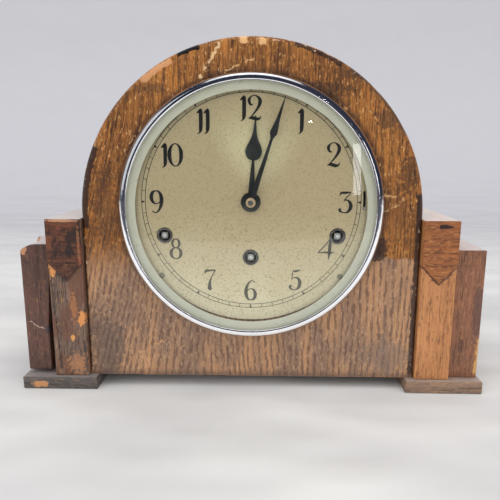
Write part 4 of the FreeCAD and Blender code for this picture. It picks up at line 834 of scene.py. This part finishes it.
slip_profile = [(77.6, -3.9), (77.7, -4.15), (78.0, -4.3), (84.1, -5.0), (84.1, -4.5), (78.1, -3.7), (77.6, -3.9)]
slip = Finish("slip_paint")
age = slip.noise(40.0, 3.0, 4.0)
mottle = slip.noise(300.0, 3.0, 5.0)
slip_colour = slip.layered((197, 195, 175), (age, (180, 179, 163)),
                           (mottle.rise(0.62, 0.72) * 0.35, (140, 140, 118)))
slip_look = slip.surface(slip_colour, 0.45, (mottle, 0.0002, 0.5), {})
sight_ring = skin("sight_ring", turned(slip_profile, bezel_z, 300), sharp=40)
place(sight_ring, "bezel", "slip_cream", slip_look, "bezel_slip")


# Dial
# A flat brass disc, silvered and lacquered, which has aged to champagne. It is screwed to the panel, and its
# numerals and minute track are printed in black.
dial_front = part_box("dial_plate")[0].y
hands_z = middle_of("dial_plate")[1]
dial = Finish("dial_silvering")
rho = dial.radius(0.0, hands_z)
above = dial.z - hands_z
brushing = dial.noise((60.0, 60.0, 1400.0), 3.0, 2.0)
cloud = dial.noise(14.0, 2.0, 6.0)
specks = dial.noise(620.0, 2.0, 7.0).rise(0.64, 0.70) * (hands_z + 25 * mm - dial.z).rise(0.0, 40 * mm)
# painted reflection: a lighter wedge above the centre, as the room mirrored in the glass
reflection_fan = (abs(dial.x - 4 * mm) - above * 0.8).rise(6 * mm, -24 * mm) * above.rise(4 * mm, 20 * mm)
dots = dial.noise(1000.0, 2.0, 17.0).rise(0.56, 0.64)
# painted reflection: lighter towards the bottom, as the pale floor mirrored in the glass, and darker at the top
silver = dial.layered((214, 203, 171), (dial.z.rise(hands_z - 72 * mm, hands_z + 2 * mm), (178, 161, 125)),
                      (cloud.rise(0.35, 0.65) * 0.35, (184, 164, 126)),
                      (reflection_fan * rho.rise(68 * mm, 26 * mm) * 0.75, (218, 210, 168)),
                      (rho.rise(66 * mm, 78 * mm) * 0.3, (192, 186, 160)), (specks * 0.55, (118, 98, 66)),
                      (dots * 0.4, (128, 110, 76)))
dial_look = dial.surface(silver, 0.42 + brushing * 0.1, (brushing * 0.4 + cloud * 0.2, 0.0002, 0.35),
                         {"Metallic": 0.12})
dress("dial_plate", dial_look)

print_back = dial_front - 0.01 * mm
print_front = print_back - 0.05 * mm


def smooth_line(points, steps=10):
    """Points of a smooth curve through the given ones: each span is a cubic that leaves along the line between
    the neighbours of its start and arrives along that between the neighbours of its end."""
    spots = np.array(points, float)
    if len(spots) < 3:
        return spots
    padded = np.concatenate([2 * spots[:1] - spots[1:2], spots, 2 * spots[-1:] - spots[-2:-1]])
    share = np.linspace(0, 1, steps, endpoint=False)[:, None, None]
    before, start, end, after = padded[:-3], padded[1:-2], padded[2:-1], padded[3:]
    line = 0.5 * (2 * start + (end - before) * share + (2 * before - 5 * start + 4 * end - after) * share ** 2
                  + (3 * start - before - 3 * end + after) * share ** 3)
    return np.concatenate([line.transpose(1, 0, 2).reshape(-1, spots.shape[1]), spots[-1:]])


def closed(grid):
    """Grid with both of its ends drawn to a point."""
    ends = grid.mean(1, keepdims=True)
    count = grid.shape[1]
    return np.concatenate([np.repeat(ends[:1], count, 1), grid, np.repeat(ends[-1:], count, 1)])


def stroke(points, x, z, size, weight=1.0):
    """Grid of a printed stroke: a flat bar whose half width changes along a smooth line, closed at both ends.
    Points are across, up and half width, counted in the size, and the weight widens the whole line."""
    line = smooth_line(points) * size
    run = np.gradient(line[:, :2], axis=0)
    run /= np.linalg.norm(run, axis=1)[:, None] + 1e-12
    across = np.stack([run[:, 1], -run[:, 0]], -1) * np.maximum(line[:, 2] * weight, 1e-5)[:, None]
    left = line[:, :2] - across
    right_side = line[:, :2] + across
    ring = np.stack([left, left, right_side, right_side], 1)
    depth = np.array([print_back, print_front, print_front, print_back])
    grid = np.stack([x + ring[..., 0], np.broadcast_to(depth, ring.shape[:2]), z + ring[..., 1]], -1)
    return closed(grid)


def oval(x, y, half_x, half_y, thin, thick):
    """Closed oval stroke that is thin at its top and foot and thick at its sides."""
    turn = np.linspace(0, 2 * math.pi, 17)
    width = thin + (thick - thin) * np.cos(turn) ** 2
    return np.stack([x + half_x * np.cos(turn), y + half_y * np.sin(turn), width], -1).tolist()


# strokes of the figures, in hundredths of their height; a nine is a six turned round
six = [(50, 90, 2), (36, 98.5, 2), (20, 86, 3.5), (9, 58, 6), (8, 30, 6.5), (17, 7, 4), (31, 1, 2), (46, 8, 5),
       (53, 29, 6.5), (46, 50, 4.5), (32, 58, 2), (18, 52, 2), (10, 38, 2)]
figures = {
    "0": [oval(30, 50, 26, 48, 1.8, 6.8)],
    "1": [[(16, 100, 2), (16, 88, 6.2), (16, 50, 6.4), (15, 16, 6), (11, 2, 3), (0, -6, 0.6)], [(-3, 80, 0.4),
          (6, 87, 3.6), (16, 101, 1.2)]],
    "2": [[(24, 61, 1.6), (12, 65, 3.8), (7, 82, 5), (17, 96.5, 2.2), (34, 100, 2), (51, 87, 5.2),
          (53, 68, 5.8), (40, 42, 3.6), (16, 13, 1.8), (5, 3, 1.8)], [(5, 6, 1.2), (20, 8, 5.5), (40, 3, 5.5),
          (53, 6, 3), (57, 17, 1)]],
    "3": [[(5, 80, 1), (10, 94, 3.5), (32, 95.5, 4.5), (58, 98, 1.4)], [(58, 98.5, 1.2), (42, 78, 2),
          (25, 59.5, 1.4)], [(24, 60, 1.6), (42, 60, 3), (56, 44, 6), (56, 22, 6.5), (42, 4, 3.5), (22, 2, 2),
          (6, 12, 4.5), (10, 22, 3.5)]],
    "4": [[(46, 100, 1.2), (20, 66, 2.2), (-12, 31, 2)], [(-14, 31, 1.4), (26, 32, 3.2), (52, 30, 3),
          (66, 36, 0.8)], [(46, 100, 2), (44, 70, 5.5), (42, 30, 5.5), (38, -6, 0.6)]],
    "5": [[(20, 97, 1.2), (17, 76, 2), (14, 54, 1.2)], [(18, 95, 2), (34, 94, 4.5), (56, 101, 1.2)],
          [(12, 53, 1.2), (26, 62, 2), (44, 58, 4.5), (53, 38, 6.5), (48, 14, 5.5), (32, 1, 2), (13, 4, 3),
          (6, 16, 5), (13, 24, 3)]],
    "6": [six],
    "7": [[(5, 80, 1.2), (10, 95, 4.5), (30, 97, 3.5), (56, 99, 2.5)], [(56, 99, 2), (38, 66, 2.2),
          (28, 36, 4.5), (27, 6, 7.5), (25, -2, 2)]],
    "8": [oval(30, 76, 17, 22, 2, 4.5), oval(30, 28, 24, 27, 2, 6)],
    "9": [[(60 - across, 99 - height, width) for across, height, width in six]],
}
figure_width = {"1": 0.30, "0": 0.66}
numeral_radius = {2: 62.8, 3: 63.0, 9: 63.6}
nudge = {1: (2.4, 0.0), 4: (-1.2, -1.0), 7: (2.6, -1.0), 8: (1.8, -1.6), 10: (1.2, 0.4), 5: (0.0, -0.6)}
ink = []
for hour in range(1, 13):
    digits = str(hour)
    tall = 14.2 if 3 <= hour <= 8 else 15.2
    widths = [figure_width.get(digit, 0.60) * tall for digit in digits]
    clock_angle = math.radians(hour * 30)
    middle_radius = numeral_radius.get(hour, 61.3)
    across, lift = nudge.get(hour, (0.0, 0.0))
    start_x = middle_radius * math.sin(clock_angle) - sum(widths) / 2 + across
    low_z = middle_radius * math.cos(clock_angle) - tall / 2 + lift
    for digit, width in zip(digits, widths):
        for points in figures[digit]:
            ink.append(stroke(points, start_x * mm, hands_z + low_z * mm, tall * mm / 100, 1.3))
        start_x += width

track_outer = 73.7
track_inner = 71.19
line_half = 0.2
for radius in (track_outer, track_inner):
    inside = radius - line_half
    outside = radius + line_half
    ring = turned([(inside, 0), (inside, 0), (outside, 0), (outside, 0), (inside, 0)], hands_z)
    ring[..., 1] = np.array([print_back, print_front, print_front, print_back, print_back])[:, None]
    ink.append(ring)
for minute in range(60):
    turn = math.radians(minute * 6)
    halves = (0.95, 0.05) if minute % 5 == 0 else (line_half * 0.9, line_half * 0.9)
    ends = [(radius * math.sin(turn), radius * math.cos(turn), half)
            for radius, half in zip((track_outer, track_inner), halves)]
    ink.append(stroke(ends, 0, hands_z, mm))
black = Finish("dial_ink")
wear = black.noise(700.0, 3.0, 3.0)
# painted reflection: the lower numerals are greyed as by the pale floor mirrored in the glass
floor_reflection_grey = (hands_z - black.z).rise(6 * mm, 40 * mm) * 0.42
ink_colour = black.layered((24, 24, 26), (wear.rise(0.62, 0.78) * 0.35, (104, 96, 80)), (floor_reflection_grey, (124, 118, 102)))
ink_look = black.surface(ink_colour, 0.5, (wear, 0.0001, 0.4), {})
place(skin("dial_print", *ink), "case", "dial_silver", ink_look)


# Winding hole grommets and dial screws
# The grommets are turned steel rings pressed into the dial; the right one has split at its upper right. The
# screws have low domed heads with a saw cut.
def metal(name, light, dark, rough, grain=400.0, tarnish=0.3, seed=0.0, spots=0.0, shine=1.0):
    """Worn metal: two tones in clouds, fine scratches along the grain, and dark spots where it has tarnished. The
    shine is less than 1 where a dull film covers the metal."""
    f = Finish(name)
    clouds = f.noise(45.0, 4.0, seed)
    fine = f.noise(grain, 3.0, seed + 2)
    stains = f.noise(160.0, 4.0, seed + 5).rise(0.58, 0.72)
    colour = f.mix(clouds.rise(0.3, 0.7), light, dark)
    colour = f.mix(stains * tarnish, colour, f.mix(0.75, colour, (38, 30, 24)))
    if spots:
        colour = f.mix(f.noise(900.0, 2.0, seed + 8).rise(0.7, 0.74) * spots, colour, (30, 24, 20))
    rough = rough + fine * 0.16 + stains * tarnish * 0.3
    return f.surface(colour, rough, (fine * 0.6 + stains * 0.3, 0.00015, 0.5), {"Metallic": shine})


gun_metal = metal("grommet_steel", (132, 128, 125), (102, 98, 97), 0.38, tarnish=0.4, seed=3.0)
dull_steel = metal("screw_steel", (170, 166, 142), (138, 136, 116), 0.4, tarnish=0.5, seed=4.0, shine=0.3)
bright_steel = metal("bright_steel", (214, 216, 218), (184, 186, 190), 0.3, 900.0, 0.25, 5.0, shine=0.6)
ring_section = [(3.9, -0.9), (3.95, -1.35), *((4.7 + 0.75 * math.cos(t), -1.35 - 0.45 * math.sin(t))
                                               for t in np.linspace(math.pi, 0, 12)), (5.5, -1.0), (3.9, -0.9)]
rings = []
for train in ("going", "strike", "chime"):
    hole_x, hole_z = middle_of(train + "_winding_arbor")
    rings.append(turned(ring_section, hole_z, 64, hole_x))
split_ring = rings[2]
split_angle = 40
split_width = 5
split_deep = 0.5 * mm
gap = np.exp(-((np.linspace(0, 360, 64, endpoint=False) - split_angle) / split_width) ** 2)
split_ring[..., 1] += gap * split_deep * (split_ring[..., 1] < face_y - 1.05 * mm)
place(skin("grommet_rings", *rings), "case", "hand_steel", gun_metal, "winding_grommets")

screw_low, screw_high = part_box("dial_screws")
head_edge = 2.0 * mm
head_rings = np.array([0.0, 0.4, 0.8, 1.2, 1.6, 1.85, 2.0, 2.0])[:, None] * mm
head_turn = np.linspace(0, 2 * math.pi, 40, endpoint=False)
crown = 0.9 * mm * np.sqrt(1 - (head_rings / (2.05 * mm)) ** 2 * 0.8)
crown[-1] = 0.0
cut_half = 0.32 * mm
cut_deep = 0.35 * mm
cut_turn = 0.6
in_cut = (np.abs(head_rings * np.sin(head_turn + cut_turn)) < cut_half) & (head_rings < 1.95 * mm)
crown = np.maximum(crown - in_cut * cut_deep, 0)
heads = []
for x in (screw_low.x + head_edge, screw_high.x - head_edge):
    for z in (screw_low.z + head_edge, screw_high.z - head_edge):
        for radius, raised in ((head_rings, crown), (head_rings[::-1], crown * 0)):
            heads.append(np.stack([x + radius * np.sin(head_turn), dial_front - raised,
                                   z + radius * np.cos(head_turn)], -1))
place(skin("dial_screw_heads", *heads), "case", "bright_steel", dull_steel, "dial_screws")
dress("chime_silent_lever", bright_steel)


# Hands
# Two blued steel spade hands, pressed and polished, on brass pipes, with a turned nickel nut over them. The hour
# hand swells to a drop and the minute hand to a slim dart.
def finger(shape, length, front, thick, angle):
    """Grid of a hand: across its length the section is a flat back with a crowned front, whose half width follows
    a smooth line; it is turned to a clock angle about the hands' centre."""
    line = smooth_line(shape, 12)
    along = line[:, 0] * length
    half = np.maximum(line[:, 1], 0.05)
    turn = np.linspace(0, math.pi, 9)
    across = np.concatenate([np.cos(turn), [-0.96, 0.96]])
    lift = np.concatenate([np.sin(turn) ** 0.7, [0.0, 0.0]])
    x = half[:, None] * across * mm
    y = face_y - front * mm - 0 * x - lift * thick * mm
    grid = closed(np.stack([x, y, 0 * x + along[:, None] * mm], -1))
    cosine, sine = math.cos(angle), math.sin(angle)
    return np.stack([grid[..., 0] * cosine + grid[..., 2] * sine, grid[..., 1],
                     hands_z + grid[..., 2] * cosine - grid[..., 0] * sine], -1)


hour_shape = [(0.08, 2.1), (0.22, 1.8), (0.40, 1.2), (0.475, 0.85), (0.49, 1.2), (0.50, 2.9), (0.53, 4.5),
              (0.585, 5.4), (0.64, 4.9), (0.70, 3.3), (0.76, 1.9), (0.83, 1.15), (0.90, 0.75), (1.0, 0.3)]
minute_shape = [(0.06, 2.0), (0.25, 1.6), (0.45, 1.2), (0.59, 0.95), (0.63, 1.5), (0.66, 2.4), (0.70, 2.1),
                (0.78, 1.35), (0.87, 0.85), (0.96, 0.42), (1.0, 0.15)]
blued_steel = metal("blued_steel", (66, 68, 66), (38, 40, 40), 0.34, 900.0, 0.4, 6.0, shine=0.4)
for node, body, shape, length, angle, hole, hub, front in (
        ("hour_hand", "hour", hour_shape, 56.5, 3.2, 3.3, 6.6, 2.4),
        ("minute_hand", "minute", minute_shape, 71.8, 18.1, 2.4, 5.2, 5.2)):
    hub_profile = [(hole, -front), (hole, -front - 0.35), (hole + 0.2, -front - 0.42), (hub - 0.5, -front - 0.42),
                   (hub - 0.1, -front - 0.3), (hub, -front - 0.1), (hub, -front), (hole, -front)]
    blade = finger(shape, length, front, 0.4, math.radians(angle))
    place(skin(node + "_blade", blade, turned(hub_profile, hands_z, 72)), body, "hand_steel", blued_steel, node)

nickel = metal("nut_nickel", (214, 190, 156), (186, 162, 130), 0.3, 700.0, 0.35, 8.0, shine=0.4)
nut_profile = [(1.5, -5.65), (1.5, -7.6), (1.75, -7.9), (2.3, -7.95), (2.55, -7.7), (3.0, -7.2), (3.3, -6.6),
               (3.3, -5.65), (1.5, -5.65)]
place(skin("hand_nut_ring", turned(nut_profile, hands_z, 64)), "minute", "movement_brass", nickel, "hand_nut")


# Movement
# Brass plates held by turned pillars and nuts. Wheels and barrels are brass, with bright steel arbors, pinions,
# winding squares and clicks; a steel arbor shows through the middle of each wheel.
plate_brass = metal("plate_brass", (206, 172, 104), (176, 142, 82), 0.3, (60.0, 900.0, 60.0), 0.4, 11.0, 0.3)
wheel_brass = metal("wheel_brass", (214, 182, 112), (188, 154, 90), 0.24, (500.0, 60.0, 500.0), 0.3, 12.0)
for node in ("movement_front_plate", "movement_back_plate", "back_cock", "going_barrel", "strike_barrel",
             "chime_barrel", "minute_wheel", "hour_wheel", "cannon_pinion", "plate_pillars", "mounting_spacers"):
    dress(node, plate_brass if "plate" in node or "cock" in node else wheel_brass)
for node in ("movement_nuts_and_screws", "winding_clicks", "pallet_anchor", "pendulum_rod", "hammer_frame"):
    dress(node, bright_steel)

# each winding square's end is painted bright in the middle and dark towards the corners: a painted
# highlight and shade that stand in for a turned, rounded end
for train in ("going", "strike", "chime"):
    node = train + "_winding_arbor"
    f = Finish(node + "_steel")
    rho = f.radius(*middle_of(node))
    fine = f.noise(900.0, 3.0, 5.0)
    colour = f.layered((236, 236, 234), (rho.rise(0.7 * mm, 1.0 * mm), (186, 186, 182)),
                       (rho.rise(1.7 * mm, 2.2 * mm), (120, 120, 117)))
    dress(node, f.surface(colour, 0.3 + fine * 0.16, (fine, 0.0001, 0.5), {"Metallic": 0.6}))

# brass between a wheel's two depths behind the panel's face, steel at its arbor and at the pinion's radius, in mm
for node, wheel_start, wheel_end, pinion_radius in (
        ("centre_wheel", 48.3, 49.9, 7.0), ("third_wheel", 32.8, 34.4, 4.0), ("escape_wheel", 40.8, 42.4, 3.0),
        ("strike_pin_wheel", 21.8, 23.4, 6.5), ("chime_pin_drum", 21.8, 23.4, 6.5)):
    f = Finish(node + "_metals")
    rho = f.radius(*middle_of(node))
    in_wheel = between(f.y, face_y + wheel_start * mm, face_y + wheel_end * mm, 0.15 * mm)
    steel = rho.rise((pinion_radius + 0.3) * mm, pinion_radius * mm) * (1 - in_wheel)
    steel = steel.most(rho.rise(1.7 * mm, 1.5 * mm))
    fine = f.noise((500.0, 60.0, 500.0), 3.0, wheel_start)
    clouds = f.noise(60.0, 4.0, wheel_end)
    brass = f.mix(clouds.rise(0.3, 0.7), (214, 182, 112), (184, 150, 88))
    colour = f.mix(steel, brass, f.mix(clouds, (198, 200, 204), (150, 152, 158)))
    dress(node, f.surface(colour, 0.22 + fine * 0.16, (fine, 0.0001, 0.5), {"Metallic": 1.0}))


# Pendulum, chime work and back door
# The pendulum has a lens-shaped brass bob and a knurled nut. Four hammers strike steel rods in an iron block.
# The oak door swings on two brass butt hinges.
door_brass = metal("door_brass", (196, 158, 90), (156, 120, 66), 0.34, 300.0, 0.5, 14.0, 0.3)
iron = metal("cast_iron", (74, 72, 72), (48, 46, 46), 0.6, 500.0, 0.7, 15.0, 0.5)
dress("gong_block", iron)
dress("chime_rods", bright_steel)
for node in ("pendulum_bob", "rating_nut", "door_knob", "door_hinge_plates", "door_hinge_leaves",
             "bezel_hinge_leaf", "bezel_hinge_plate", *(f"chime_hammer_{number}" for number in range(1, 5))):
    dress(node, door_brass)
door_oak = oak("door_oak", 131.0, (118, 80, 50), (84, 54, 34), (50, 32, 22), "Z", 0.5, (), 0.2)
dress("back_door", door_oak)
